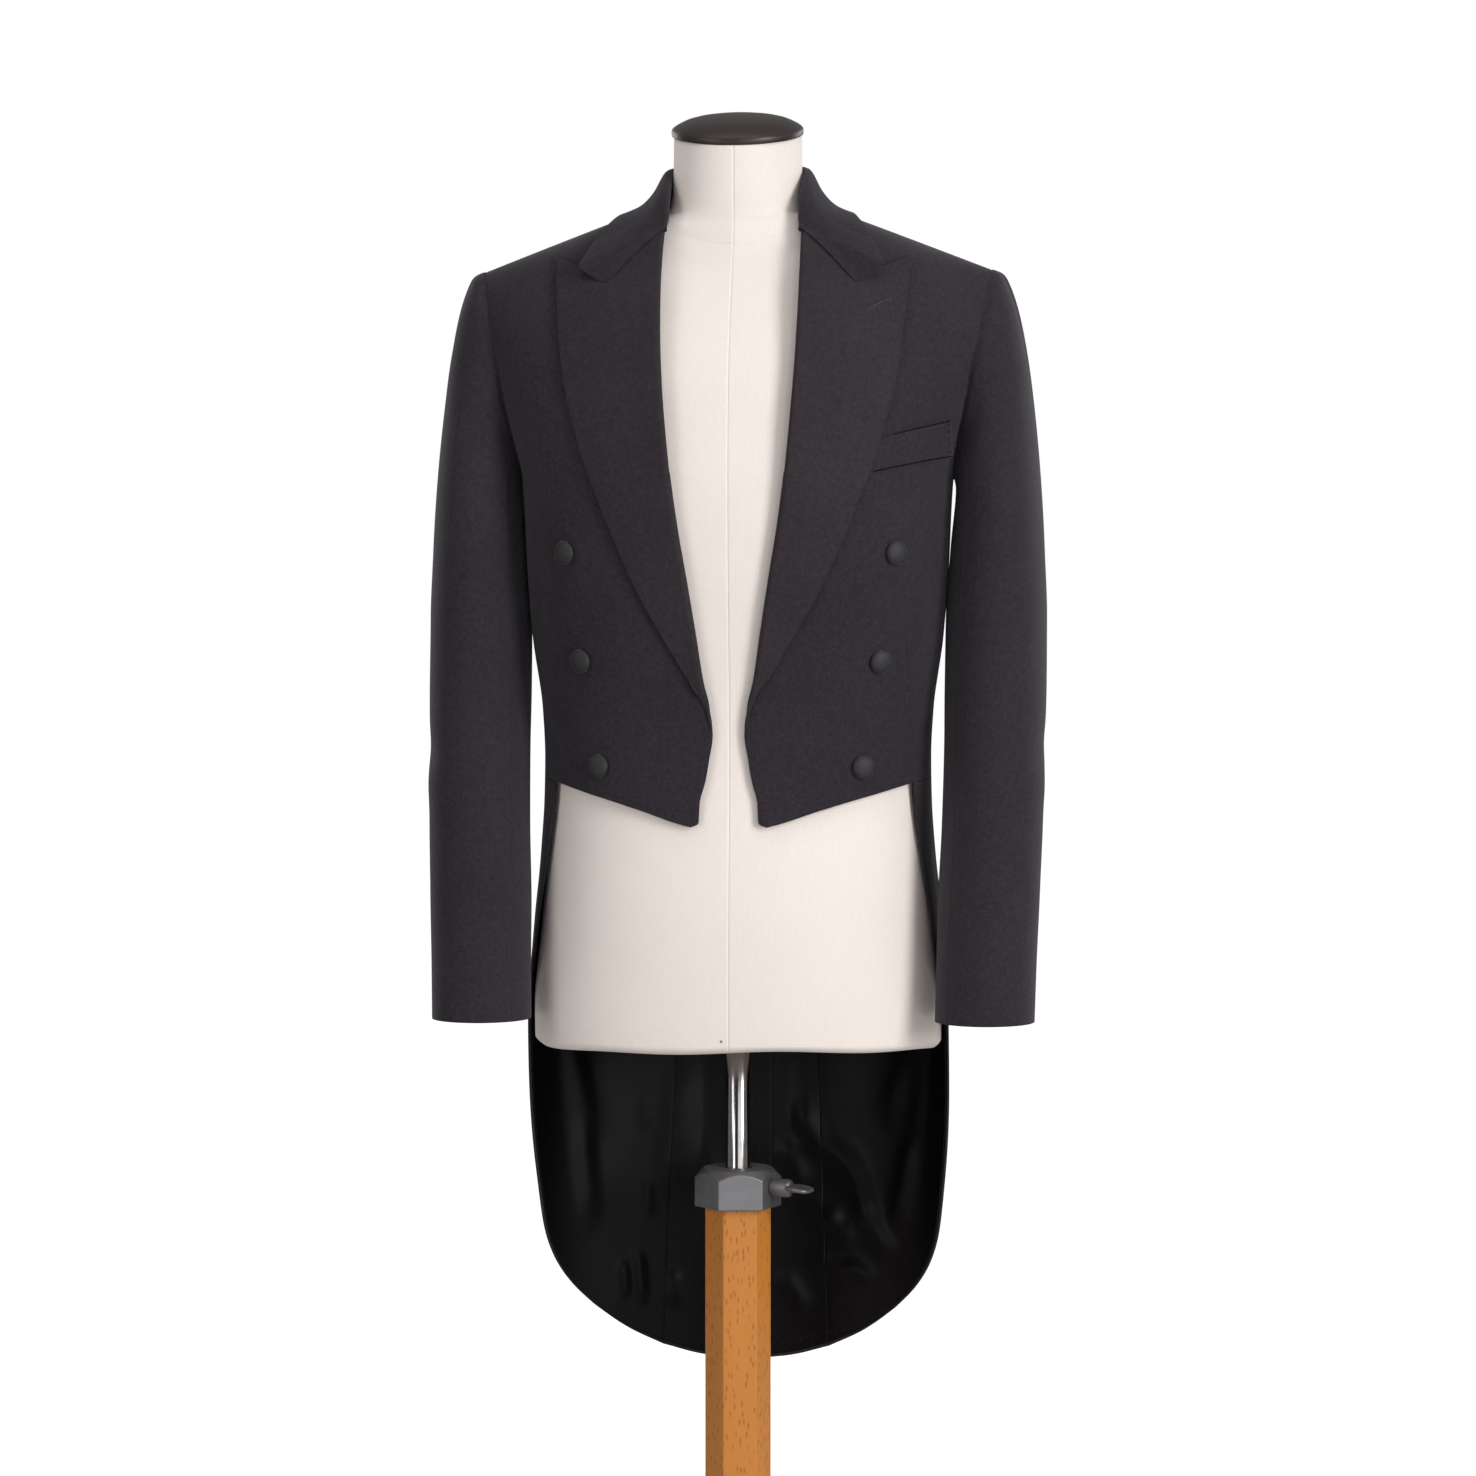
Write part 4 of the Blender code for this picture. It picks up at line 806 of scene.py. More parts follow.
def sheetPiece(name, points, finishName, sign, slotName, nodes, thick=None,
               rounding=None):
    if sign < 0:
        points = points * np.array((-1.0, 1.0, 1.0))
    piece = gridMesh(name, points, finishName, flip=sign < 0)
    thicken(piece, thick or cloth["thick"], rounding)
    place(piece, "form", slotName, *nodes)
    return piece


def drawIn(points, gaps):
    # draws the edges of a grid in: left, right, bottom, top
    moves = np.zeros_like(points)
    moves[:, 0] += unit(points[:, 1] - points[:, 0]) * gaps[0]
    moves[:, -1] += unit(points[:, -2] - points[:, -1]) * gaps[1]
    moves[0] += unit(points[1] - points[0]) * gaps[2]
    moves[-1] += unit(points[-2] - points[-1]) * gaps[3]
    return points + moves


def foldRelief(places, metric, folds):
    # soft ridges and troughs; each is a start, an end, a width, a height and a sideways bow, in metres
    spots = places * np.array(metric)
    relief = np.zeros(places.shape[:2])
    for start, end, width, height, bow in folds:
        start = np.array(start) * metric
        end = np.array(end) * metric
        run = end - start
        length = np.linalg.norm(run)
        run = run / length
        along = ((spots - start) @ run) / length
        aside = (spots - start) @ np.array((-run[1], run[0]))
        aside = aside - bow * 4 * along * (1 - along)
        fade = smoothStep(along / 0.35) * smoothStep((1 - along) / 0.35)
        relief += height * fade * np.exp(-(aside / width) ** 2)
    return relief


def sharesFor(edges, rows=None):
    # even shares across and up that give about one cell each
    up = np.linspace(0, 1, 40)
    across, high = np.meshgrid(np.linspace(0, 1, 30), up)
    places = patchAt(edges, across, high)
    points = coatSurface(places[..., 0], places[..., 1])
    wide = np.linalg.norm(np.diff(points, axis=1), axis=-1).sum(axis=1).max()
    tall = np.linalg.norm(np.diff(points, axis=0), axis=-1).sum(axis=0).max()
    return np.linspace(0, 1, int(wide / cloth["cell"]) + 2), np.linspace(0, 1, int(tall / cloth["cell"]) + 2)


def onCoat(places, out=0.0):
    points = coatSurface(places[..., 0], places[..., 1])
    return points + coatNormal(places[..., 0], places[..., 1]) * np.asarray(out)[..., None]


coatMetric = (0.0029, 1.0)  # metres a degree and a metre of height

# Soft creases on the coat: angle and level at each end, width, height, sideways bow
creases = {
    "front_left": [((60, 1.265), (67, 1.090), 0.012, -0.0012, 0.006),
                   ((72, 1.250), (76, 1.060), 0.010, 0.0010, 0.0),
                   ((40, 1.370), (56, 1.330), 0.014, -0.0008, 0.004),
                   ((84, 1.075), (50, 1.052), 0.007, -0.0007, 0.002),
                   ((84, 1.100), (58, 1.066), 0.006, 0.0006, 0.001)],
    "front_right": [((62, 1.260), (66, 1.110), 0.013, -0.0013, -0.004),
                    ((73, 1.240), (75, 1.070), 0.009, 0.0009, 0.0),
                    ((38, 1.375), (57, 1.325), 0.013, -0.0007, 0.005),
                    ((84, 1.085), (54, 1.050), 0.007, -0.0008, 0.0),
                    ((84, 1.060), (60, 1.035), 0.006, 0.0005, 0.001)],
    "side_body": [((88, 1.160), (150, 1.080), 0.008, -0.0009, 0.004),
                  ((88, 1.110), (155, 1.062), 0.007, 0.0008, 0.0),
                  ((95, 1.240), (120, 1.120), 0.010, -0.0010, 0.0),
                  ((130, 1.250), (145, 1.110), 0.012, 0.0010, 0.0)],
    "back_left": [((150, 1.380), (176, 1.345), 0.015, -0.0009, 0.0),
                  ((165, 1.200), (178, 1.100), 0.012, 0.0009, 0.0),
                  ((168, 1.080), (179, 1.050), 0.008, -0.0009, 0.0),
                  ((166, 0.960), (163, 0.600), 0.012, -0.0020, 0.0),
                  ((172, 0.980), (170, 0.540), 0.014, 0.0018, 0.003)],
    "back_right": [((148, 1.385), (176, 1.352), 0.014, -0.0008, 0.0),
                   ((163, 1.210), (178, 1.110), 0.012, 0.0010, 0.0),
                   ((168, 1.090), (179, 1.058), 0.008, -0.0008, 0.0),
                   ((165, 0.940), (162, 0.580), 0.013, -0.0021, 0.0),
                   ((173, 0.960), (171, 0.560), 0.013, 0.0016, -0.002)],
    "skirt_left": [((92, 0.960), (118, 0.640), 0.014, 0.0022, 0.004),
                   ((108, 0.980), (132, 0.580), 0.013, -0.0024, 0.0),
                   ((128, 1.000), (146, 0.560), 0.012, 0.0020, 0.0),
                   ((80, 0.985), (96, 0.800), 0.010, -0.0012, 0.0)],
    "skirt_right": [((94, 0.950), (119, 0.630), 0.013, 0.0020, 0.0),
                    ((110, 0.990), (134, 0.590), 0.014, -0.0025, 0.004),
                    ((130, 0.990), (147, 0.550), 0.012, 0.0021, 0.0),
                    ((82, 0.975), (97, 0.790), 0.010, -0.0011, 0.0)],
}

dart = {
    # x, z at the top and the bottom of the front dart
    "left": [(0.1490, 1.1560), (0.1540, 1.0520)],
    "right": [(0.1470, 1.1680), (0.1530, 1.0900)],
    "width": 0.0011,
    "depth": 0.0007,
    "columns": (-0.006, -0.003, -0.0015, -0.0007, 0.0, 0.0007, 0.0015, 0.003, 0.006),
}


def dartShares(edges, upShares, line):
    # where each row crosses the dart's line, as a share across
    (topX, topZ), (lowX, lowZ) = line
    across, up = np.meshgrid(np.linspace(0.3, 1.0, 141), upShares)
    places = patchAt(edges, across, up)
    points = coatSurface(places[..., 0], places[..., 1])
    wanted = lowX + (points[..., 2] - lowZ) * (topX - lowX) / (topZ - lowZ)
    beyond = points[..., 0] - np.clip(wanted, 0.140, 0.160)
    first = np.argmax(beyond > 0, axis=1)
    first = np.clip(first, 1, beyond.shape[1] - 1)
    rows = np.arange(len(first))
    low, high = beyond[rows, first - 1], beyond[rows, first]
    share = across[rows, first - 1] + (across[0, 1] - across[0, 0]) * np.clip(-low / (high - low), 0, 1)
    wide = np.linalg.norm(np.diff(points, axis=1), axis=-1).sum(axis=1) / 0.7
    return share, wide


def lapelRadius(height):
    # the roll's radius at a height on the front's edge
    rise = smoothStep((height - 1.066) / 0.070)
    top = lapel["riseLow"] + (lapel["rise"] - lapel["riseLow"] + lapel["roll"]) * rise
    under = 0.0019 + 0.0019 * rise * (1 - smoothStep((height - 1.40) / 0.05))
    return (top + under) / 2


def makeFront(sideName):
    sign = sideSign[sideName]
    edges = frontEdges()
    acrossShares, upShares = sharesFor(edges)
    share, wide = dartShares(edges, upShares, dart[sideName])
    share = np.clip(share, 0.45, 0.93)
    edgeHeight = readLine(coatSurface(edges[2][:, 0], edges[2][:, 1]), upShares)[:, 2]
    tuck = (lapelRadius(edgeHeight) + 0.0009) * smoothStep((edgeHeight - 1.066) / 0.030)
    start = tuck / wide
    # columns: an even run up to the dart, fine ones over it, and an even run to the side seam
    fine = np.array(dart["columns"])
    before = int(len(acrossShares) * 0.72)
    after = len(acrossShares) - before
    rows = []
    for k in range(len(upShares)):
        over = share[k] + fine / wide[k]
        rows.append(np.concatenate((np.linspace(start[k], over[0], before, endpoint=False), over,
                                    np.linspace(over[-1], 1.0, after)[1:])))
    across = np.array(rows)
    places = patchAt(edges, across, np.repeat(upShares[:, None], across.shape[1], axis=1))
    out = foldRelief(places, coatMetric, creases["front_" + sideName])
    (topX, topZ), (lowX, lowZ) = dart[sideName]
    height = coatSurface(places[..., 0], places[..., 1])[..., 2]
    run = (height - lowZ) / (topZ - lowZ)
    fade = smoothStep(run / 0.06) * smoothStep((1 - run) / 0.25)
    aside = (across - share[:, None]) * wide[:, None]
    out -= dart["depth"] * fade * np.exp(-(aside / dart["width"]) ** 2)
    out += 0.0006 * fade * np.exp(-((aside - 0.004) / 0.004) ** 2)
    gap = cloth["seamGap"]
    points = drawIn(onCoat(places, out), (0.0, gap, 0.0, gap))
    return sheetPiece("front_%s_cloth" % sideName, points, "coatWool", sign, "coat_wool",
                      ["front_" + sideName])


def makePanel(kind, edges, sideName, folds, gaps):
    acrossShares, upShares = sharesFor(edges)
    across, up = np.meshgrid(acrossShares, upShares)
    places = patchAt(edges, across, up)
    points = drawIn(onCoat(places, foldRelief(places, coatMetric, folds)), gaps)
    name = "%s_%s" % (kind, sideName)
    return sheetPiece(name + "_cloth", points, "coatWool", sideSign[sideName], "coat_wool", [name])


def makeBodyPanels():
    gap = cloth["seamGap"]
    for sideName in sideSign:
        makeFront(sideName)
        makePanel("side_body", sideEdges(), sideName, creases["side_body"], (gap, gap, gap, gap))
        makePanel("back", backEdges(), sideName, creases["back_" + sideName], (gap, gap, 0.0, gap))
        makePanel("skirt", skirtEdges(), sideName, creases["skirt_" + sideName], (0.0, gap, 0.0, gap))
    say("fronts, side bodies, backs and skirts are cut")


makeBodyPanels()

# Lapels, collar, welt, sleeves and linings

def lapelPoints():
    edges = lapelEdges()
    columns = 38
    rows = int(0.46 / 0.0036)
    shares = np.linspace(0, 1, columns + 1)
    upShares = np.linspace(0, 1, rows + 1)
    across, up = np.meshgrid(shares, upShares)
    # the face starts where the roll comes over, one radius inside the fold
    places = patchAt(edges, across, up)
    flat = coatSurface(places[..., 0], places[..., 1])
    wide = np.linalg.norm(np.diff(flat, axis=1), axis=-1).sum(axis=1)
    start = np.minimum(0.55, lapelRadius(flat[:, 0, 2]) / wide)
    across = start[:, None] + (1 - start[:, None]) * across
    places = patchAt(edges, across, up)
    height = coatSurface(places[..., 0], places[..., 1])[..., 2]
    rise = lapel["riseLow"] + (lapel["rise"] - lapel["riseLow"]) * smoothStep((height - 1.066) / 0.070)
    lift = lapel["roll"] * (1 - across) ** 2 * np.sin(math.pi * np.minimum(1.0, 0.02 + 0.90 * up)) ** 0.7
    lift += lapel["bow"] * np.sin(math.pi * across) * up ** 2
    lift -= lapel["tuckUnder"] * smoothStep((up - 0.972) / 0.016) * (1 - smoothStep((across - 0.42) / 0.07))
    face = onCoat(places, rise + lift)
    # the roll: an arc from the face round the front's edge to the facing inside
    edgePlace = places[:, 0]
    base = coatSurface(edgePlace[:, 0], edgePlace[:, 1])
    normal = coatNormal(edgePlace[:, 0], edgePlace[:, 1])
    inner = -unit(face[:, 1] - face[:, 0])
    inner = unit(inner - normal * (inner * normal).sum(axis=-1, keepdims=True))
    radius = lapelRadius(base[:, 2])
    top = (rise + lift)[:, 0]
    centre = base + normal * (top - radius)[:, None]
    turns = np.radians(np.linspace(180.0, 0.0, 9)[:-1])
    arc = [centre + radius[:, None] * (inner * math.sin(t) + normal * math.cos(t)) for t in turns]
    run = lapel["facingDepth"]
    under = [arc[0] - inner * run * share - normal * 0.0002 for share in (1.0, 0.66, 0.33)]
    columnsBefore = np.stack(under + arc, axis=1)
    return np.concatenate((columnsBefore, face), axis=1), edges


def lapelTip(points, radius=0.0035):
    # rounds the peak's tip: the last rows draw back near the corner
    corner = points[-1, -1]
    away = np.linalg.norm(points - corner, axis=-1)
    inward = unit(points[-8, -8] - corner)
    pull = np.maximum(0.0, radius - away) * 0.35
    return points + inward * pull[..., None]


def makeLapels():
    points, edges = lapelPoints()
    for sideName, sign in sideSign.items():
        sheetPiece("lapel_%s_cloth" % sideName, lapelTip(points), "lapelSilk", sign, "lapel_silk",
                   ["lapel_" + sideName], thick=0.0016,
                   rounding=0.0007)
    say("lapels roll")


def makeWelt():
    edges = weltEdges()
    across, up = np.meshgrid(np.linspace(0, 1, 17), np.linspace(0, 1, 9))
    places = patchAt(edges, across, up)
    swell = 0.0007 * np.sin(math.pi * up) * np.sin(math.pi * np.clip(across, 0, 1)) ** 0.5
    points = onCoat(places, welt["rise"] + swell)
    sheetPiece("breast_welt_cloth", points, "coatWool", 1, "coat_wool", ["breast_welt"],
               thick=0.0016)


collar = {
    # fold x, y, z and fall edge x, y, z from the front to the centre back
    "stations": [
        (0.0588, -0.0640, 1.4945, 0.1062, -0.0850, 1.4440),
        (0.0592, -0.0600, 1.4980, 0.1320, -0.0790, 1.4610),
        (0.0596, -0.0480, 1.5160, 0.1200, -0.0500, 1.4850),
        (0.0600, -0.0250, 1.5370, 0.1065, -0.0220, 1.5020),
        (0.0605, 0.0000, 1.5490, 0.0985, 0.0030, 1.5115),
        (0.0560, 0.0270, 1.5540, 0.0920, 0.0330, 1.5090),
        (0.0430, 0.0480, 1.5570, 0.0700, 0.0560, 1.5075),
        (0.0230, 0.0580, 1.5590, 0.0380, 0.0720, 1.5060),
        (0.0000, 0.0610, 1.5600, 0.0000, 0.0780, 1.5050),
    ],
    "clear": 0.0023,
    "clearFront": 0.0041,
    "thick": 0.0019,
    "sag": 0.0075,  # how far the fall hollows beside the neck
}


def clearOfCoat(point, clear):
    # pushes a point out to stand clear of the shoulder's round ridge
    x, y, z = point
    high = float(ridgeHeight(abs(x))) - coat["armpit"]
    share = min(1.0, max(0.0, (z - coat["armpit"]) / high))
    level = coat["armpit"] + coat["upperSpan"] * math.asin(share) * 2 / math.pi
    halfWidth, front, back, square = coatSection(level)
    side = min(1.0, abs(x) / halfWidth)
    deep = (front if y < 0 else back) * (1.0 - side ** square) ** (1.0 / square)
    reach = math.hypot(y / (deep + clear), (z - coat["armpit"]) / (high + clear))
    if reach >= 1.0:
        return np.array(point)
    return np.array((x, y / reach, coat["armpit"] + (z - coat["armpit"]) / reach))


def collarRow(station):
    fold = np.array(station[:3])
    edge = np.array(station[3:])
    outward = unit(np.array((edge[0] - fold[0], edge[1] - fold[1], 0.0)))
    upright = np.array((0.0, 0.0, 1.0))
    stand = min(0.026, max(0.004, (fold[2] - 1.488) * 0.40))
    # the stand tapers to nothing where the lapel starts
    tuck = 0.15 + 0.85 * smoothStep((fold[2] - 1.4945) / 0.020)
    foot = fold + outward * (stand * 0.20 - 0.002 * tuck) - upright * (stand + 0.002) * tuck
    shoulder = fold + outward * 0.0042 - upright * 0.0035
    points = [foot, fold - (outward * 0.0018 + upright * 0.0055) * tuck, fold, shoulder]
    behind = smoothStep((fold[1] + 0.062) / 0.040)
    sag = collar["sag"] * behind * (1 - 0.5 * smoothStep((fold[1] - 0.03) / 0.03))
    clear = collar["clearFront"] + (collar["clear"] - collar["clearFront"]) * behind
    for share in (0.22, 0.48, 0.75, 1.0):
        hollow = upright * sag * math.sin(math.pi * share ** 0.8)
        points.append(clearOfCoat(shoulder + (edge - shoulder) * share - hollow, clear))
    return denser(np.array(points), 5)


def makeCollar():
    stations = np.array(collar["stations"])
    leaf = stations[0] + (stations[1] - stations[0]) * np.linspace(0, 1, 9)[:-1, None]
    half = np.concatenate((leaf, spread(stations[1:], 56)))
    mirrored = half[::-1][1:].copy()
    mirrored[:, 0] *= -1
    mirrored[:, 3] *= -1
    rows = np.array([collarRow(station) for station in np.concatenate((half, mirrored))])
    points = rows.transpose(1, 0, 2)
    # the collar takes the darkened copy of the coat's wool, which paints shade onto it
    piece = gridMesh("collar_cloth", points, "collarWoolPaintedShade", flip=False)
    thicken(piece, collar["thick"], 0.0008)
    place(piece, "form", "coat_wool", "collar")
    say("collar folds over")


sleeve = {
    "top": 1.220,
    "cuff": 0.812,
    "forearmSeam": 135.0,
    "elbowSeam": -60.0,
    "headOut": 0.048,
    "headOutAtTop": 0.026,
    "headTurn": 0.25,
    "headDip": 0.30,
    "headFall": 0.165,
    "headFallAtTop": 0.085,
    "headStep": 0.004,
    "seamGap": 0.0003,
    "wall": 0.0019,  # the sleeve's outer face stands this far outside the sections
    # height, centre x, centre y, half width, half depth
    "sections": [
        (0.812, 0.21855, -0.068, 0.04115, 0.0480),
        (0.860, 0.21985, -0.060, 0.04135, 0.0500),
        (0.920, 0.22165, -0.048, 0.04215, 0.0525),
        (0.980, 0.22420, -0.035, 0.04200, 0.0555),
        (1.040, 0.22560, -0.022, 0.04200, 0.0590),
        (1.100, 0.22640, -0.010, 0.04260, 0.0630),
        (1.160, 0.22685, -0.001, 0.04235, 0.0680),
        (1.220, 0.22770, 0.003, 0.03930, 0.0725),
    ],
    # turn and place down the sleeve at each end, width, height and bow of its soft creases
    "creases": [
        ((-30, 1.38), (60, 1.47), 0.010, -0.0010, 0.0),
        ((-20, 1.52), (80, 1.44), 0.012, 0.0010, 0.004),
        ((10, 1.62), (110, 1.54), 0.010, -0.0008, 0.0),
        ((70, 0.35), (118, 0.85), 0.012, -0.0010, 0.0),
        ((95, 0.25), (128, 0.70), 0.010, 0.0009, 0.0),
        ((20, 0.15), (30, 0.60), 0.016, 0.0008, 0.0),
        ((60, 1.75), (100, 1.95), 0.012, 0.0007, 0.0),
    ],
}
sleeveSection = smoothTable(sleeve["sections"])


def sleeveRing(turn, height):
    x, y, halfWidth, halfDepth = np.moveaxis(sleeveSection(height), -1, 0)
    swing = np.radians(turn)
    return np.stack(np.broadcast_arrays(x + halfWidth * np.cos(swing), y - halfDepth * np.sin(swing),
                                        height), axis=-1)


def seamAt(turn):
    place = armhole(turn)
    return coatSurface(place[..., 0], place[..., 1])


def seamInward(turn):
    place = armhole(turn)
    along = seamAt(turn + 1.5) - seamAt(turn - 1.5)
    inward = unit(np.cross(coatNormal(place[..., 0], place[..., 1]), along))
    centre = (seamAt(np.array(0.0)) + seamAt(np.array(180.0))) / 2
    flip = ((centre - seamAt(turn)) * inward).sum(axis=-1, keepdims=True) < 0
    return np.where(flip, -inward, inward)


def sleevePoint(turn, down):
    turn, down = np.broadcast_arrays(np.asarray(turn, float), np.asarray(down, float))
    swing = np.radians(turn)
    gap = sleeve["seamGap"]
    start = seamAt(turn) + seamInward(turn) * 2 * gap + np.array((2 * gap, 0.0, 0.0))
    end = sleeveRing(turn, np.full(turn.shape, sleeve["top"]))
    out = (sleeve["headOut"] + sleeve["headOutAtTop"] * np.cos(swing))[..., None]
    depart = np.stack((np.ones_like(swing), -sleeve["headTurn"] * np.sin(swing),
                       -sleeve["headDip"] * np.cos(swing / 2) ** 2), axis=-1) * out
    fall = (sleeve["headFall"] + sleeve["headFallAtTop"] * np.cos(swing))[..., None]
    below = sleeveRing(turn, np.full(turn.shape, sleeve["top"] - sleeve["headStep"]))
    arrive = (below - end) * (fall / sleeve["headStep"])
    t = np.clip(down, 0.0, 1.0)[..., None]
    head = (start * (1 + 2 * t) * (1 - t) ** 2 + end * t ** 2 * (3 - 2 * t) + depart * t * (1 - t) ** 2
            + arrive * t ** 2 * (t - 1))
    lower = sleeveRing(turn, sleeve["top"] + (sleeve["cuff"] - sleeve["top"]) * (down - 1.0))
    return np.where(down[..., None] >= 1.0, lower, head)


def sleeveNormal(turn, down):
    around = sleevePoint(turn + 2, down) - sleevePoint(turn - 2, down)
    along = sleevePoint(turn, np.minimum(2.0, down + 0.02)) - sleevePoint(turn, np.maximum(0.0, down - 0.02))
    return unit(np.cross(around, along))


def sleeveGrid(first, last):
    turns = np.linspace(first, last, int(abs(last - first) / 4.2) + 1)
    head = smoothStep(np.linspace(0, 1, 46)) * 0.35 + np.linspace(0, 1, 46) * 0.65
    downs = np.concatenate((head, np.linspace(1, 2, 90)[1:]))
    turn, down = np.meshgrid(turns, downs)
    metric = (0.0008, 0.30)
    out = foldRelief(np.stack((turn, down), axis=-1), metric, sleeve["creases"])
    # the rope: the cap swells just outside its seam, most at the top of the shoulder
    rope = 0.0005 * np.maximum(0.0, np.cos(np.radians(turn * 0.62))) * np.exp(-((down - 0.07) / 0.055) ** 2)
    wall = sleeve["wall"] * (0.15 + 0.85 * smoothStep(down / 0.12))
    points = sleevePoint(turn, down) + sleeveNormal(turn, down) * (wall + out + rope)[..., None]
    # the seam allowance lies under the coat's edge
    normal = coatNormal(*np.moveaxis(armhole(turns), -1, 0))
    inward = seamInward(turns)
    seam = seamAt(turns)
    under = [seam - normal * deep - inward * back for deep, back in ((0.0027, 0.0060), (0.0024, 0.0020))]
    return np.concatenate((np.stack(under), points))


def makeSleeves():
    gap = cloth["seamGap"]
    for sideName, sign in sideSign.items():
        for kind, first, last in (("top_sleeve", sleeve["elbowSeam"], sleeve["forearmSeam"]),
                                  ("undersleeve", sleeve["forearmSeam"], 360.0 + sleeve["elbowSeam"])):
            points = drawIn(sleeveGrid(first, last), (gap, gap, 0.0, 0.0))
            name = "%s_%s" % (kind, sideName)
            sheetPiece(name + "_cloth", points, "coatWool", sign, "coat_wool", [name])
    say("sleeves are set in")


lining = {
    "thick": 0.0011,
    "under": 0.0027,
    "rows": 7,  # of the solid's rows that the lining runs up
    "fullness": 1.45,
}


def liningPlaces(edges, edgeShare, rowsOfPanel, columnsOfPanel, near):
    # near is the side the lining starts at: the swept front edge or the vent
    upTo = lining["rows"] / rowsOfPanel
    low = 0.05 / rowsOfPanel
    inset = edgeShare / columnsOfPanel
    shares = np.linspace(inset, 1.0, 56) if near == "left" else np.linspace(0.0, 1.0 - inset, 40)
    across, up = np.meshgrid(shares, np.linspace(low, upTo, 150))
    return patchAt(edges, across, up), across, up


satinCreases = {
    # angle and level at each end, width, height and bow of the soft folds in each tail's lining
    "left": [((166, 0.730), (152, 0.660), 0.0110, 0.0034, 0.006),
             ((156, 0.690), (143, 0.600), 0.0120, 0.0036, -0.006),
             ((147, 0.640), (133, 0.580), 0.0110, 0.0030, 0.004),
             ((164, 0.640), (150, 0.618), 0.0100, 0.0032, 0.006),
             ((160, 0.616), (148, 0.590), 0.0090, 0.0030, -0.006),
             ((162, 0.590), (146, 0.562), 0.0090, 0.0028, 0.006),
             ((152, 0.578), (141, 0.560), 0.0070, 0.0022, 0.0),
             ((120, 0.800), (138, 0.690), 0.0140, 0.0026, 0.006),
             ((170, 0.690), (164, 0.640), 0.0090, 0.0024, 0.0),
             ((126, 0.700), (134, 0.600), 0.0120, 0.0026, 0.0),
             ((171, 0.570), (162, 0.530), 0.0080, 0.0020, 0.0)],
    "right": [((148, 0.590), (149, 0.530), 0.0050, 0.0020, 0.002),
              ((143.5, 0.580), (145, 0.540), 0.0050, 0.0018, 0.0),
              ((159.5, 0.570), (158.5, 0.530), 0.0060, 0.0020, 0.0),
              ((120, 0.800), (136, 0.680), 0.0140, 0.0020, 0.0),
              ((160, 0.760), (155, 0.620), 0.0150, 0.0026, 0.006),
              ((128, 0.720), (133, 0.600), 0.0110, 0.0020, 0.0),
              ((170, 0.700), (168, 0.560), 0.0100, 0.0018, 0.0),
              ((151, 0.660), (152, 0.610), 0.0050, 0.0012, 0.0),
              ((151, 0.735), (151, 0.690), 0.0050, 0.0012, 0.0)],
}


def liningFace(places, panel, sideName, deep):
    # the lining follows the coat's own troughs, and its soft folds stand towards the form
    trough = np.minimum(foldRelief(places, coatMetric, creases[panel]), 0.0)
    return onCoat(places,
                  trough - lining["fullness"] * foldRelief(places, coatMetric, satinCreases[sideName]) - deep)


def makeLinings():
    for sideName, sign in sideSign.items():
        for kind, edges, share, rows, columns, near in (
                ("skirt", skirtEdges(), 0.12, 10, 8, "left"), ("tail", backEdges(), 0.0, 25, 7, "right")):
            places, across, up = liningPlaces(edges, share, rows, columns, near)
            panel = "%s_%s" % ("skirt" if kind == "skirt" else "back", sideName)
            points = liningFace(places, panel, sideName, lining["under"])
            node = "%s_lining_%s" % (kind, sideName)
            sheetPiece(node + "_satin", points, "tailSatin", sign, "tail_satin", [node],
                       thick=lining["thick"])
    say("tails are lined")


makeLapels()
makeWelt()
makeCollar()
makeSleeves()
makeLinings()

# Covered buttons and handwork

buttons = {
    # shares of the radius outwards and upwards, with the cloth drawn over a rounded rim
    "dome": [(0.0, 0.0), (0.80, 0.0), (0.93, 0.03), (1.0, 0.12), (1.0, 0.19), (0.965, 0.28), (0.88, 0.37),
             (0.72, 0.455), (0.50, 0.52), (0.25, 0.565), (0.0, 0.58)],
    "sides": 40,
    "front": 0.0210,
    "cuff": 0.0135,
    "frontPlaces": [(0.142, 1.216), (0.129, 1.123), (0.114, 1.032)],
    "backPlace": (165.0, 1.036),
    "cuffTurn": -46.0,
    "cuffLowest": 0.8475,
    "cuffPitch": 0.0145,
    "frontGap": 0.0006,
    "backGap": 0.0008,
    "cuffGap": 0.0008,
}


def turned(name, profile, sides, finishName, placing, smooth=True):
    # a body turned from shares of radius and height, set by a matrix
    points = []
    faces = []
    for radius, height in profile:
        if radius < 1e-9:
            points.append((0.0, 0.0, height))
        else:
            points += [(radius * math.cos(math.tau * k / sides), radius * math.sin(math.tau * k / sides),
                        height)
                       for k in range(sides)]
    starts = []
    at = 0
    for radius, height in profile:
        starts.append(at)
        at += 1 if radius < 1e-9 else sides
    for k in range(len(profile) - 1):
        low, high = starts[k], starts[k + 1]
        for n in range(sides):
            m = (n + 1) % sides
            if profile[k][0] < 1e-9:
                faces.append((low, high + m, high + n))
            elif profile[k + 1][0] < 1e-9:
                faces.append((low + n, low + m, high))
            else:
                faces.append((low + n, low + m, high + m, high + n))
    mesh = bpy.data.meshes.new(name)
    mesh.from_pydata([placing @ Vector(point) for point in points], [], faces)
    shape = bmesh.new()
    shape.from_mesh(mesh)
    bmesh.ops.recalc_face_normals(shape, faces=shape.faces)
    shape.to_mesh(mesh)
    shape.free()
    if smooth:
        mesh.shade_smooth()
    mesh.materials.append(finish[finishName])
    made = bpy.data.objects.new(name, mesh)
    bpy.context.scene.collection.objects.link(made)
    return made


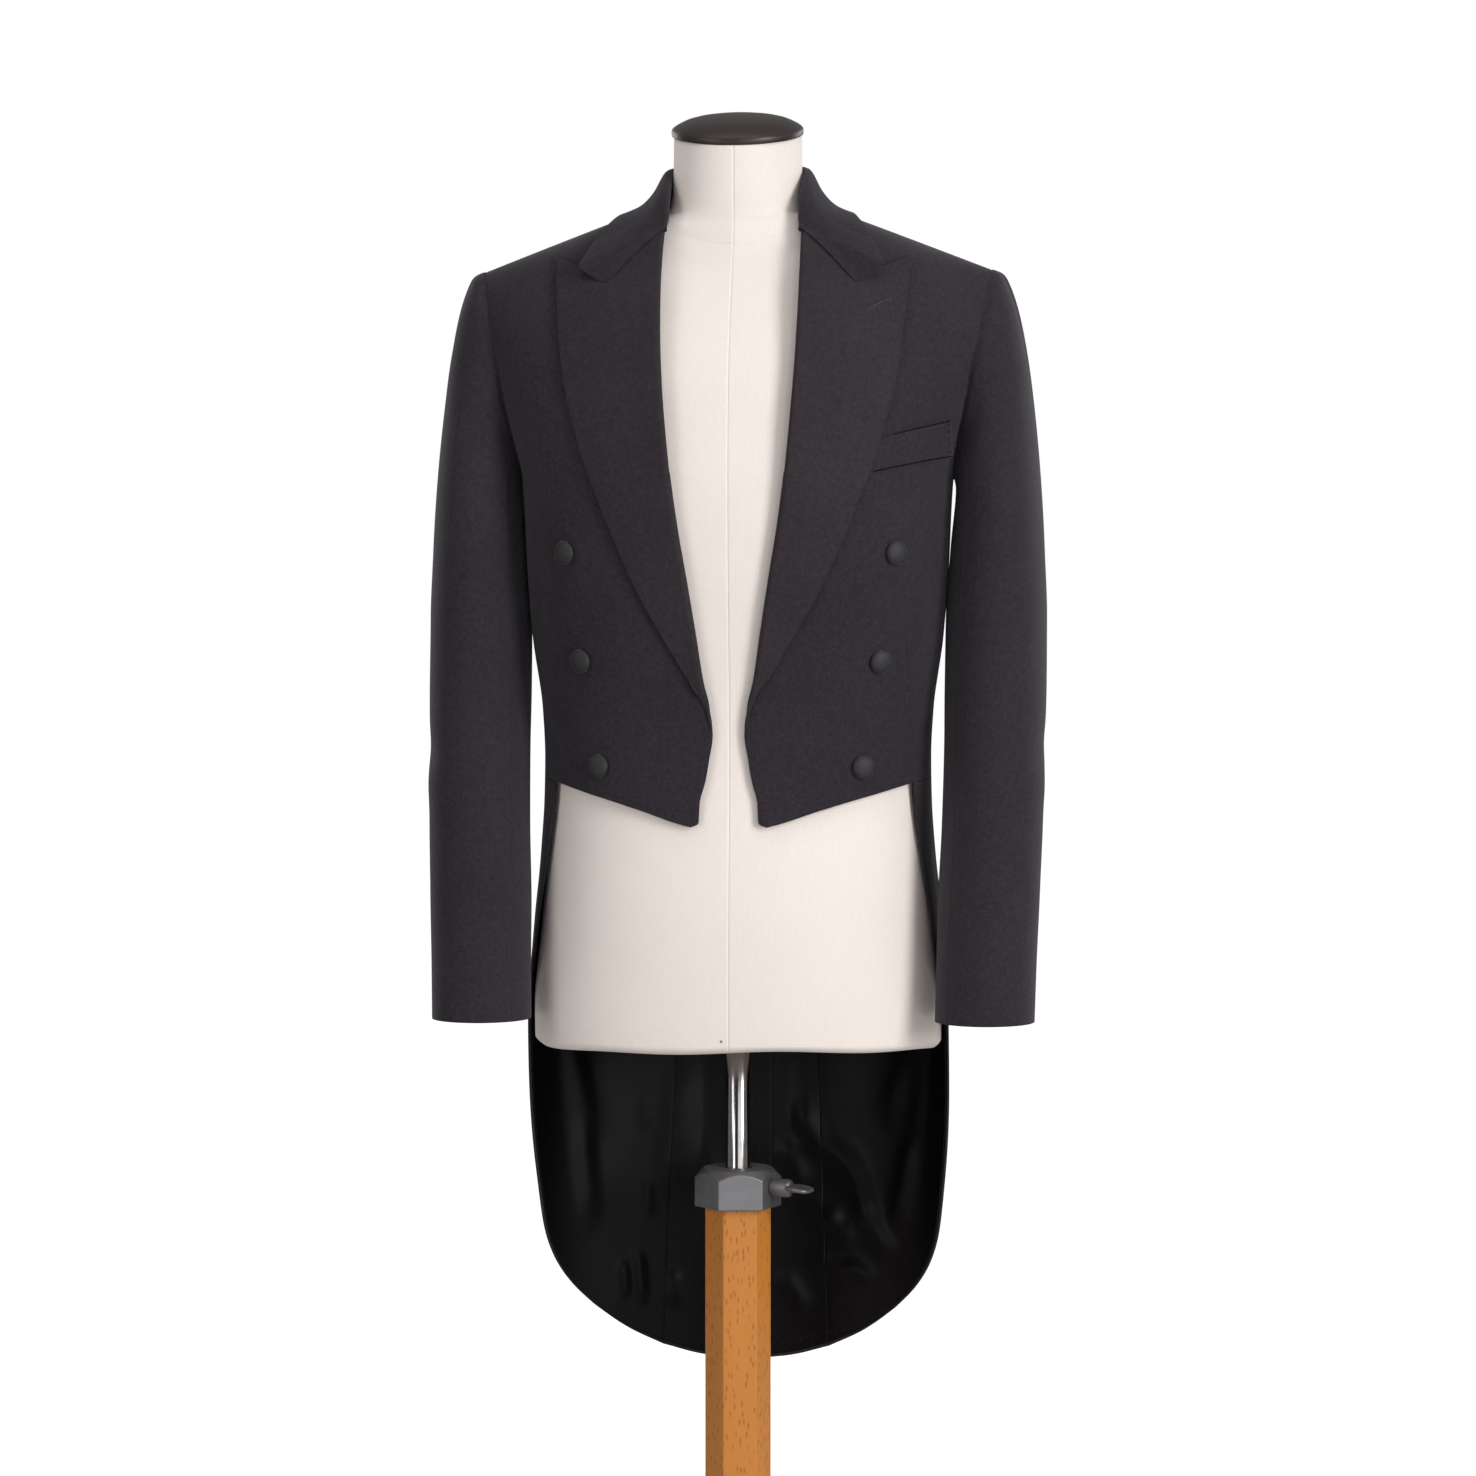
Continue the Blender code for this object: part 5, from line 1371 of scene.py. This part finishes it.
def standingOn(point, normal):
    return Matrix.Translation(Vector(point)) @ Vector(normal).to_track_quat("Z", "Y").to_matrix().to_4x4()


def makeButton(name, diameter, point, normal, gap, sign):
    point = np.array(point) + np.array(normal) * gap
    mirror = np.array((sign, 1.0, 1.0))
    profile = [(out * diameter / 2, up * diameter / 2) for out, up in buttons["dome"]]
    button = turned(name + "_covered", profile, buttons["sides"], "buttonSilk",
                    standingOn(point * mirror, np.array(normal) * mirror))
    place(button, "form", "covered_button", name)


def makeButtons():
    for sideName, sign in sideSign.items():
        for k, (x, z) in enumerate(buttons["frontPlaces"]):
            spot = onFront(x, z)
            point = coatSurface(spot[0], spot[1])
            makeButton("front_button_%s_%d" % (sideName, k + 1), buttons["front"], point,
                       coatNormal(spot[0], spot[1]), buttons["frontGap"], sign)
        spot = buttons["backPlace"]
        makeButton("back_button_" + sideName, buttons["front"], coatSurface(*spot), coatNormal(*spot),
                   buttons["backGap"], sign)
        for k in range(4):
            height = buttons["cuffLowest"] + buttons["cuffPitch"] * k
            down = 1.0 + (height - sleeve["top"]) / (sleeve["cuff"] - sleeve["top"])
            turn = np.array(buttons["cuffTurn"])
            normal = sleeveNormal(turn, np.array(down))
            point = sleevePoint(turn, np.array(down)) + normal * sleeve["wall"]
            makeButton("cuff_button_%s_%d" % (sideName, k + 1), buttons["cuff"], point, normal,
                       buttons["cuffGap"], sign)
    say("buttons are sewn on")


makeButtons()

# Handwork: stitches, the lapel's buttonhole and the vent's facing

handwork = {
    "thread": 0.00022,
    "pitch": 0.0075,
    "inside": 0.0060,  # from the edge to its stitches
    "stitch": 0.0015,
    "buttonhole": [(0.1168, 1.4222), (0.1376, 1.4330)],
    "purls": 34,
    "weltEnd": [(0.1846, 1.3040), (0.1844, 1.3095), (0.1842, 1.3150), (0.1840, 1.3205), (0.1838, 1.3262)],
    "weltSeams": [((0.1240, 1.2850), (0.1880, 1.2998), 0.0008), ((0.1400, 1.3168), (0.1876, 1.3294), 0.0006)],
    "ventAngles": (172.9, 180.7),
    "ventHeights": (0.4875, 1.0280),
    "ventDeep": 0.0042,
    "ventStitches": (0.0115, 0.0203),
}


def threads(name, segments, radius, finishName="thread"):
    # one mesh of many short stitches, each a spindle between two points
    points = []
    faces = []
    sides = 6
    for start, end in segments:
        along = np.array(end) - np.array(start)
        length = np.linalg.norm(along)
        along = along / length
        side = unit(np.cross(along, np.array((0.3, 0.8, 0.5))))
        other = np.cross(along, side)
        at = len(points)
        for share, fat in ((0.0, 0.35), (0.22, 1.0), (0.78, 1.0), (1.0, 0.35)):
            for k in range(sides):
                swing = math.tau * k / sides
                points.append(tuple(np.array(start) + along * length * share
                                    + (side * math.cos(swing) + other * math.sin(swing)) * radius * fat))
        for ring in range(3):
            for k in range(sides):
                m = (k + 1) % sides
                low, high = at + ring * sides, at + (ring + 1) * sides
                faces.append((low + k, low + m, high + m, high + k))
        faces.append(tuple(at + k for k in range(sides))[::-1])
        faces.append(tuple(at + 3 * sides + k for k in range(sides)))
    mesh = bpy.data.meshes.new(name)
    mesh.from_pydata(points, [], faces)
    mesh.shade_smooth()
    mesh.materials.append(finish[finishName])
    made = bpy.data.objects.new(name, mesh)
    bpy.context.scene.collection.objects.link(made)
    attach(made, "form")
    return made


def frontPoint(x, z, out):
    spot = onFront(x, z)
    return coatSurface(spot[0], spot[1]) + coatNormal(spot[0], spot[1]) * out


def edgeStitches(sign):
    segments = []
    mirror = np.array((sign, 1.0, 1.0))
    edge = np.array(panelLines["frontEdgeLower"])
    inside, half = handwork["inside"], handwork["stitch"] / 2
    for z in np.arange(0.9950, 1.0640, handwork["pitch"]):
        x = np.interp(z, edge[:, 1], edge[:, 0]) + inside
        segments.append((frontPoint(x - half, z, 0.0001) * mirror,
                         frontPoint(x + half, z + 0.0004, 0.0001) * mirror))
    hem = np.array(panelLines["frontHem"])
    for x in np.arange(0.0400, 0.1500, handwork["pitch"]):
        z = np.interp(x, hem[:, 0], hem[:, 1]) + inside
        segments.append((frontPoint(x, z - half, 0.0001) * mirror,
                         frontPoint(x + 0.0004, z + half, 0.0001) * mirror))
    return segments


def makeStitches():
    for sideName, sign in sideSign.items():
        threads("edge_stitches_" + sideName, edgeStitches(sign), handwork["thread"])
    half = 0.0009
    welted = [(frontPoint(x, z - half, 0.0034), frontPoint(x, z + half, 0.0034)) for x,
              z in handwork["weltEnd"]]
    threads("welt_stitches", welted, 0.00034)
    seam = []
    for start, end, lift in handwork["weltSeams"]:
        line = [frontPoint(x, z, lift) for x,
                z in zip(np.linspace(start[0], end[0], 13), np.linspace(start[1], end[1], 13))]
        seam += zip(line, line[1:])
    threads("welt_seam", seam, 0.00050)


def makeHemStitches():
    # the lining is felled to the hem with small slanting stitches
    for sideName, sign in sideSign.items():
        mirror = np.array((sign, 1.0, 1.0))
        segments = []
        for kind, edges, share, rows, columns, near, row in (
                ("skirt", skirtEdges(), 0.12, 10, 8, "left", 2),
                ("back", backEdges(), 0.0, 25, 7, "right", 3)):
            places = liningPlaces(edges, share, rows, columns, near)[0]
            face = liningFace(places, "%s_%s" % (kind, sideName), sideName,
                              lining["under"] + lining["thick"] + 0.0001)
            for k in range(1, face.shape[1] - 1, 3):
                start = face[row, k]
                segments.append((start * mirror,
                                 (start + unit(face[row + 1, k + 1] - start) * 0.0022) * mirror))
        threads("hem_stitches_" + sideName, segments, 0.00020, "coatWool")


def lapelSpot(points, x, z):
    # the lapel's face at x, z, from the nearest points of its grid
    near = (points[..., 0] - x) ** 2 + (points[..., 2] - z) ** 2
    order = np.argsort(near, axis=None)[:4]
    weight = 1.0 / (near.ravel()[order] + 1e-9)
    y = (points[..., 1].ravel()[order] * weight).sum() / weight.sum()
    return np.array((x, y, z))


def makeButtonhole():
    points, edges = lapelPoints()
    start, end = (lapelSpot(points[:, 12:], x, z) for x, z in handwork["buttonhole"])
    along = unit(end - start)
    outward = unit(np.array((0.20, -1.0, 0.12)))
    aside = unit(np.cross(outward, along))
    lift = outward * 0.00015
    segments = []
    for k in range(handwork["purls"] + 1):
        spot = start + (end - start) * k / handwork["purls"]
        for side in (-1, 1):
            segments.append((spot + aside * side * 0.0004 + lift * 3,
                             spot + aside * side * 0.0016 + lift * 2))
    threads("buttonhole_purls", segments, 0.00046, "twist")
    threads("buttonhole_slit", [(start + lift, end + lift)], 0.00040)
    for side in (-1, 1):
        gimp = aside * side * 0.0009 + lift * 3
        threads("buttonhole_gimp_%d" % (side + 2), [(start + gimp, end + gimp)], 0.00040, "twist")
    threads("buttonhole_bar", [(end - aside * 0.0016 + lift * 2, end + aside * 0.0016 + lift * 2)], 0.00050,
            "twist")


def makeVentFacing():
    # strip of the coat's own cloth sewn behind the centre vent, seen inside the tails; it takes the
    # near-black satin finish, which paints it in shade
    low, high = handwork["ventHeights"]
    angles = np.linspace(handwork["ventAngles"][1], handwork["ventAngles"][0], 10)
    angle, level = np.meshgrid(angles[::-1], np.linspace(low, high, 110))
    places = np.stack((angle, level), axis=-1)
    points = onCoat(places, -handwork["ventDeep"] + 0.0004 * np.sin(level * 70.0))
    # the near-black satin finish on this wool strip is painted shade
    piece = gridMesh("vent_facing_painted_shade", points, "tailSatin")
    thicken(piece, 0.0010, 0.0004)
    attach(piece, "form")
    segments = []
    for x in handwork["ventStitches"]:
        for z in np.arange(low + 0.006, high - 0.01, 0.0062):
            ends = []
            for height in (z, z + 0.0034):
                halfWidth = float(coatSection(np.array(height))[0])
                angle = 180.0 - math.degrees(math.asin(x / halfWidth))
                spot = coatSurface(angle, height) - coatNormal(np.array(angle), np.array(height)) * (
                    handwork["ventDeep"] + 0.0011)
                ends.append(spot)
            segments.append(tuple(ends))
    threads("vent_stitches", segments, 0.00018, "coatWool")


makeStitches()
makeHemStitches()
makeButtonhole()
makeVentFacing()
say("handwork is done")

# Dress form

form = {
    "sections": [
        # height, half width, front depth, back depth, squareness
        (0.7850, 0.1740, 0.107, 0.103, 2.2),
        (0.7900, 0.1790, 0.112, 0.108, 2.2),
        (0.8200, 0.1795, 0.113, 0.108, 2.2),
        (0.8900, 0.1730, 0.112, 0.104, 2.2),
        (0.9530, 0.1675, 0.108, 0.094, 2.2),
        (1.0000, 0.1640, 0.104, 0.085, 2.2),
        (1.0380, 0.1630, 0.102, 0.080, 2.2),
        (1.0800, 0.1650, 0.104, 0.081, 2.2),
        (1.1430, 0.1740, 0.111, 0.089, 2.3),
        (1.2000, 0.1780, 0.118, 0.098, 2.3),
        (1.2800, 0.1815, 0.122, 0.108, 2.4),
        (1.3400, 0.1870, 0.118, 0.111, 2.4),
        (1.3800, 0.1900, 0.110, 0.109, 2.4),
        (1.4100, 0.1900, 0.098, 0.103, 2.4),
        (1.4350, 0.1890, 0.085, 0.095, 2.3),
        (1.4500, 0.1880, 0.077, 0.088, 2.3),
        (1.4630, 0.1830, 0.070, 0.081, 2.2),
        (1.4740, 0.1720, 0.063, 0.075, 1.9),
        (1.4838, 0.1600, 0.058, 0.069, 1.7),
        (1.4915, 0.1400, 0.056, 0.064, 1.7),
        (1.4985, 0.1200, 0.054, 0.060, 1.7),
        (1.5040, 0.0930, 0.053, 0.056, 1.8),
        (1.5085, 0.0710, 0.053, 0.053, 2.0),
        (1.5120, 0.0630, 0.053, 0.051, 2.0),
        (1.5220, 0.0585, 0.054, 0.050, 2.0),
        (1.5450, 0.0565, 0.055, 0.049, 2.0),
        (1.5750, 0.0559, 0.056, 0.047, 2.0),
    ],
    "neckTop": 1.5810,
    "neckPivot": -0.0045,
    "capTilt": 15.0,
    "capSquash": 0.93,
    "cap": [(0.0, 0.0003), (0.0567, 0.0003), (0.0574, 0.0007), (0.0577, 0.0015), (0.0577, 0.0050),
            (0.0570, 0.0062),
            (0.0547, 0.0080), (0.0500, 0.0106), (0.0450, 0.0128), (0.0380, 0.0147), (0.0300, 0.0160),
            (0.0220, 0.0169), (0.0150, 0.0175), (0.0070, 0.0179), (0.0, 0.0180)],
    "seamWidth": 0.0006,
    "seamDepth": 0.0006,
    "neckSeam": [(0.0, 1.4815), (0.020, 1.4835), (0.040, 1.4895), (0.056, 1.4985), (0.066, 1.5075)],
    "socket": 0.0116,  # radius of the hole for the rod
    "socketTop": 0.880,
}
formSection = smoothTable(form["sections"])


def formTurns():
    # degrees round the form, closer together on the centre front and the centre back
    fine = np.array((0.0, 0.10, 0.20, 0.32, 0.50, 0.80, 1.4))
    even = np.linspace(3.0, 177.0, 60)
    half = np.concatenate((fine, even, 180.0 - fine[::-1]))
    return np.concatenate((half, 180.0 + half[1:-1]))


def formPoints():
    turns = np.radians(formTurns())
    heights = np.concatenate((np.linspace(0.785, 0.797, 6), np.linspace(0.802, 1.44, 100),
                              np.linspace(1.444, 1.476, 12),
                              np.linspace(1.4766, 1.512, 60), np.linspace(1.515, 1.575, 20)))
    turn, height = np.meshgrid(turns, heights)
    halfWidth, front, back, square = np.moveaxis(formSection(height), -1, 0)
    side = np.sin(turn)
    ahead = np.cos(turn)
    reach = (np.abs(side) ** square + np.abs(ahead) ** square) ** (-1.0 / square)
    x = halfWidth * side * reach
    y = -np.where(ahead > 0, front, back) * ahead * reach
    aside = np.abs(x)
    seam = np.exp(-(aside / form["seamWidth"]) ** 2) * form["seamDepth"]
    centre = -np.sign(y) * seam
    y = y + centre
    neckX, neckZ = np.array(form["neckSeam"]).T
    neckLine = np.interp(np.abs(x), neckX, neckZ)
    ring = np.exp(-((height - neckLine) / 0.0009) ** 2) * 0.0009 * (np.abs(x) < 0.070)
    scale = 1.0 - ring / np.maximum(0.03, np.hypot(x, y))
    x, y = x * scale, y * scale
    # an uneven lower edge and a top cut on the cap's slope
    uneven = 0.0014 * np.sin(3 * turn + 0.6) + 0.0009 * np.sin(7 * turn) + 0.0012 * np.cos(turn)
    z = height + uneven * smoothStep((0.800 - height) / 0.015)
    topZ = form["neckTop"] + math.tan(math.radians(form["capTilt"])) * (y - form["neckPivot"])
    share = smoothStep((height - 1.545) / 0.030)
    z = z + (topZ - 1.575) * share
    return np.stack((x, y, z), axis=-1)


def makeForm():
    points = formPoints()
    rows, columns = points.shape[:2]
    body = gridMesh("form_linen", points, "linen", round_=True)
    mesh = bmesh.new()
    mesh.from_mesh(body.data)
    mesh.verts.ensure_lookup_table()
    top = [mesh.verts[(rows - 1) * columns + k] for k in range(columns)]
    mesh.faces.new(top).smooth = False
    # the underside closes round the rod's socket
    low = [mesh.verts[k] for k in range(columns)]
    turns = np.radians(formTurns())
    rings = [low]
    for radius, height in ((form["socket"], 0.7866), (form["socket"], form["socketTop"])):
        rings.append([mesh.verts.new((radius * math.sin(turn), -radius * math.cos(turn),
                                      height)) for turn in turns])
    for outer, inner in zip(rings, rings[1:]):
        for k in range(columns):
            m = (k + 1) % columns
            mesh.faces.new((outer[m], outer[k], inner[k], inner[m])).smooth = outer is not low
    mesh.faces.new(rings[-1]).smooth = False
    bmesh.ops.recalc_face_normals(mesh, faces=mesh.faces)
    mesh.to_mesh(body.data)
    mesh.free()
    place(body, "form", "form_linen", "form_torso")
    profile = form["cap"]
    slope = Matrix.Translation((0.0, form["neckPivot"], form["neckTop"])) @ Matrix.Rotation(
        math.radians(form["capTilt"]), 4, "X") @ Matrix.Diagonal((1.0, form["capSquash"], 1.0, 1.0))
    cap = turned("neck_cap_wood", profile, 72, "capWood", slope)
    place(cap, "form", "neck_cap", "neck_cap")
    nail = turned("form_nail",
                  [(0.0, -0.002), (0.0011, -0.002), (0.0011, 0.0006), (0.0007, 0.0010), (0.0, 0.0011)],
                  16, "nailSteel", standingOn((-0.006, -0.1121, 0.7975), (0.0, -1.0, 0.0)))
    place(nail, "form")
    say("form is covered")


makeForm()

# Stand

stand = {
    "rod": 0.0110,
    "rodLow": 0.360,
    "rodTop": 0.880,
    "postTop": 0.6490,
    "postFoot": 0.0163,
    "postCorner": 0.0293,
    "postBore": 0.0114,
    "postBoreFoot": 0.420,
    "clampLow": 0.6400,
    "clampTop": 0.6745,
    "clampCorner": 0.0385,
    "clampTurn": 8.0,
    "clampChamfer": 46.0,
    "clampFlat": 0.0300,  # radius of the flat top inside the chamfer
    "screwHeight": 0.6585,
    "screwRadius": 0.0040,
    "screwTip": 0.0125,
    "headRadius": 0.0080,
    "headIn": 0.0003,
    "headOut": 0.0190,
    "wing": (0.0046, 0.0260, 0.0240),
    "wingAt": 0.0250,
    "wingSteps": 64,
    "wingSquare": 0.6,  # under 1 squares its corners
    "baseRadius": 0.200,
    "baseHeight": 0.028,
    "baseEdge": 0.006,
    "baseFoot": 0.002,
    "baseSocket": 0.012,
}


def bodyFrom(name, shape, finishName, edge=None, segments=3, smoothAngle=None):
    mesh = bpy.data.meshes.new(name)
    bmesh.ops.recalc_face_normals(shape, faces=shape.faces)
    shape.to_mesh(mesh)
    shape.free()
    mesh.materials.append(finish[finishName])
    made = bpy.data.objects.new(name, mesh)
    bpy.context.scene.collection.objects.link(made)
    if edge:
        round_ = made.modifiers.new("edge", "BEVEL")
        round_.width = edge
        round_.segments = segments
        round_.limit_method = "ANGLE"
        round_.angle_limit = math.radians(25.0)
        round_.harden_normals = False
    return made


def makePost():
    shape = bmesh.new()
    sides = 6
    low, high = stand["postFoot"], stand["postTop"]
    corner = stand["postCorner"]
    turns = [math.radians(60.0 * k + stand["clampTurn"]) for k in range(sides)]
    rings = []
    for z in (low, high):
        rings.append([shape.verts.new((corner * math.cos(t), corner * math.sin(t), z)) for t in turns])
    for k in range(sides):
        m = (k + 1) % sides
        shape.faces.new((rings[0][k], rings[0][m], rings[1][m], rings[1][k]))
    shape.faces.new(rings[1])
    shape.faces.new(rings[0][::-1])
    post = bodyFrom("post_beech", shape, "beech", 0.0012, 4)
    place(post, "stand", "post_beech", "post")


def makeBase():
    radius, high, edge, foot = stand["baseRadius"], stand["baseHeight"], stand["baseEdge"], stand["baseFoot"]
    profile = [(0.0, 0.0), (radius - foot, 0.0), (radius, foot), (radius, high - edge)]
    for k in range(1, 7):
        turn = math.radians(15.0 * k)
        profile.append((radius - edge * (1 - math.cos(turn)), high - edge * (1 - math.sin(turn))))
    profile.append((0.0, high))
    base = turned("base_beech", profile, 128, "beech", Matrix.Identity(4))
    place(base, "stand", "base_beech", "base")


def makeRod():
    radius = stand["rod"]
    profile = [(0.0, stand["rodLow"]), (radius - 0.001, stand["rodLow"]), (radius, stand["rodLow"] + 0.001),
               (radius, stand["rodTop"] - 0.001), (radius - 0.001, stand["rodTop"]), (0.0, stand["rodTop"])]
    rod = turned("height_rod_chrome", profile, 64, "chrome", Matrix.Identity(4))
    place(rod, "rod", "rod_chrome", "height_rod")


def makeClamp():
    # a hexagonal nut: the flat top runs into a cone that leaves an arc on every face
    sides = 180
    corner = stand["clampCorner"]
    flat = corner * math.cos(math.pi / 6)
    turnTo = math.radians(stand["clampTurn"])
    slope = math.tan(math.radians(stand["clampChamfer"]))
    shape = bmesh.new()
    rings = []

    def ring(points):
        rings.append([shape.verts.new(point) for point in points])

    turns = [math.tau * k / sides + turnTo for k in range(sides)]
    reach = []
    for k in range(sides):
        step = (math.tau * k / sides) % (math.pi / 3)
        reach.append(flat / math.cos(step - math.pi / 6))
    bore = stand["postBore"]
    low, high = stand["clampLow"], stand["clampTop"]
    shoulder = [high - max(0.0, (r - stand["clampFlat"]) * slope) for r in reach]
    ring([(bore * math.cos(t), bore * math.sin(t), low) for t in turns])
    ring([(r * math.cos(t), r * math.sin(t), low) for r, t in zip(reach, turns)])
    ring([(r * math.cos(t), r * math.sin(t), z) for r, t, z in zip(reach, turns, shoulder)])
    inner = [min(r, stand["clampFlat"]) for r in reach]
    ring([(r * math.cos(t), r * math.sin(t), high) for r, t in zip(inner, turns)])
    ring([((bore + 0.0012) * math.cos(t), (bore + 0.0012) * math.sin(t), high) for t in turns])
    ring([(bore * math.cos(t), bore * math.sin(t), high - 0.0012) for t in turns])
    for one, two in zip(rings, rings[1:] + rings[:1]):
        for k in range(sides):
            m = (k + 1) % sides
            shape.faces.new((one[k], one[m], two[m], two[k]))
    clamp = bodyFrom("clamp_aluminium", shape, "aluminium", 0.0009, 3)
    place(clamp, "stand", "clamp_metal", "clamp")


def makeThumbscrew():
    swing = math.radians(stand["clampTurn"] + 60.0)
    along = Vector((math.sin(swing), -math.cos(swing), 0.0))
    facing = along.to_track_quat("Z", "Y").to_matrix().to_4x4()
    placing = Matrix.Translation((0.0, 0.0, stand["screwHeight"])) @ facing
    face = stand["clampCorner"] * math.cos(math.pi / 6)
    radius, head = stand["screwRadius"], stand["headRadius"]
    start, end = face + stand["headIn"], face + stand["headOut"]
    profile = [(0.0, stand["screwTip"]), (radius - 0.0008, stand["screwTip"]),
               (radius, stand["screwTip"] + 0.0008),
               (radius, start), (head - 0.0009, start), (head, start + 0.0009), (head, end - 0.0030),
               (head - 0.0006, end - 0.0014), (head - 0.0022, end), (0.0, end)]
    screw = turned("thumbscrew_shank", profile, 40, "aluminium", placing)
    place(screw, "screw", "screw_metal", "thumbscrew")
    # the wing is a thin blade, edge on to the front, that droops a little towards its tip
    thick, wide, deep = stand["wing"]
    shape = bmesh.new()
    steps, square = stand["wingSteps"], stand["wingSquare"]
    outline = []
    for k in range(steps):
        turn = math.tau * k / steps
        out = math.copysign(abs(math.cos(turn)) ** square, math.cos(turn)) * wide / 2
        aside = math.copysign(abs(math.sin(turn)) ** square, math.sin(turn)) * deep / 2
        aside *= 0.60 + 0.40 * smoothStep((out / wide + 0.5) / 0.6)
        outline.append((out, float(aside)))
    centre = face + stand["wingAt"]
    rings = []
    for side, share in ((-1, 0.90), (-0.6, 1.0), (0.6, 1.0), (1, 0.90)):
        ring = []
        for out, aside in outline:
            reach = out / wide + 0.5
            droop = -0.0022 * reach ** 2 + 0.0010
            high = side * thick / 2 * (1 - 0.25 * reach) + droop
            ring.append(shape.verts.new(placing @ Vector((aside * share, high, centre + out * share))))
        rings.append(ring)
    for one, two in zip(rings, rings[1:]):
        for k in range(len(outline)):
            m = (k + 1) % len(outline)
            shape.faces.new((one[k], one[m], two[m], two[k]))
    shape.faces.new(rings[0])
    shape.faces.new(rings[-1][::-1])
    wing = bodyFrom("thumbscrew_wing", shape, "aluminium")
    wing.data.shade_smooth()
    place(wing, "screw", "screw_metal")


makePost()
makeBase()
makeRod()
makeClamp()
makeThumbscrew()
say("stand is up")
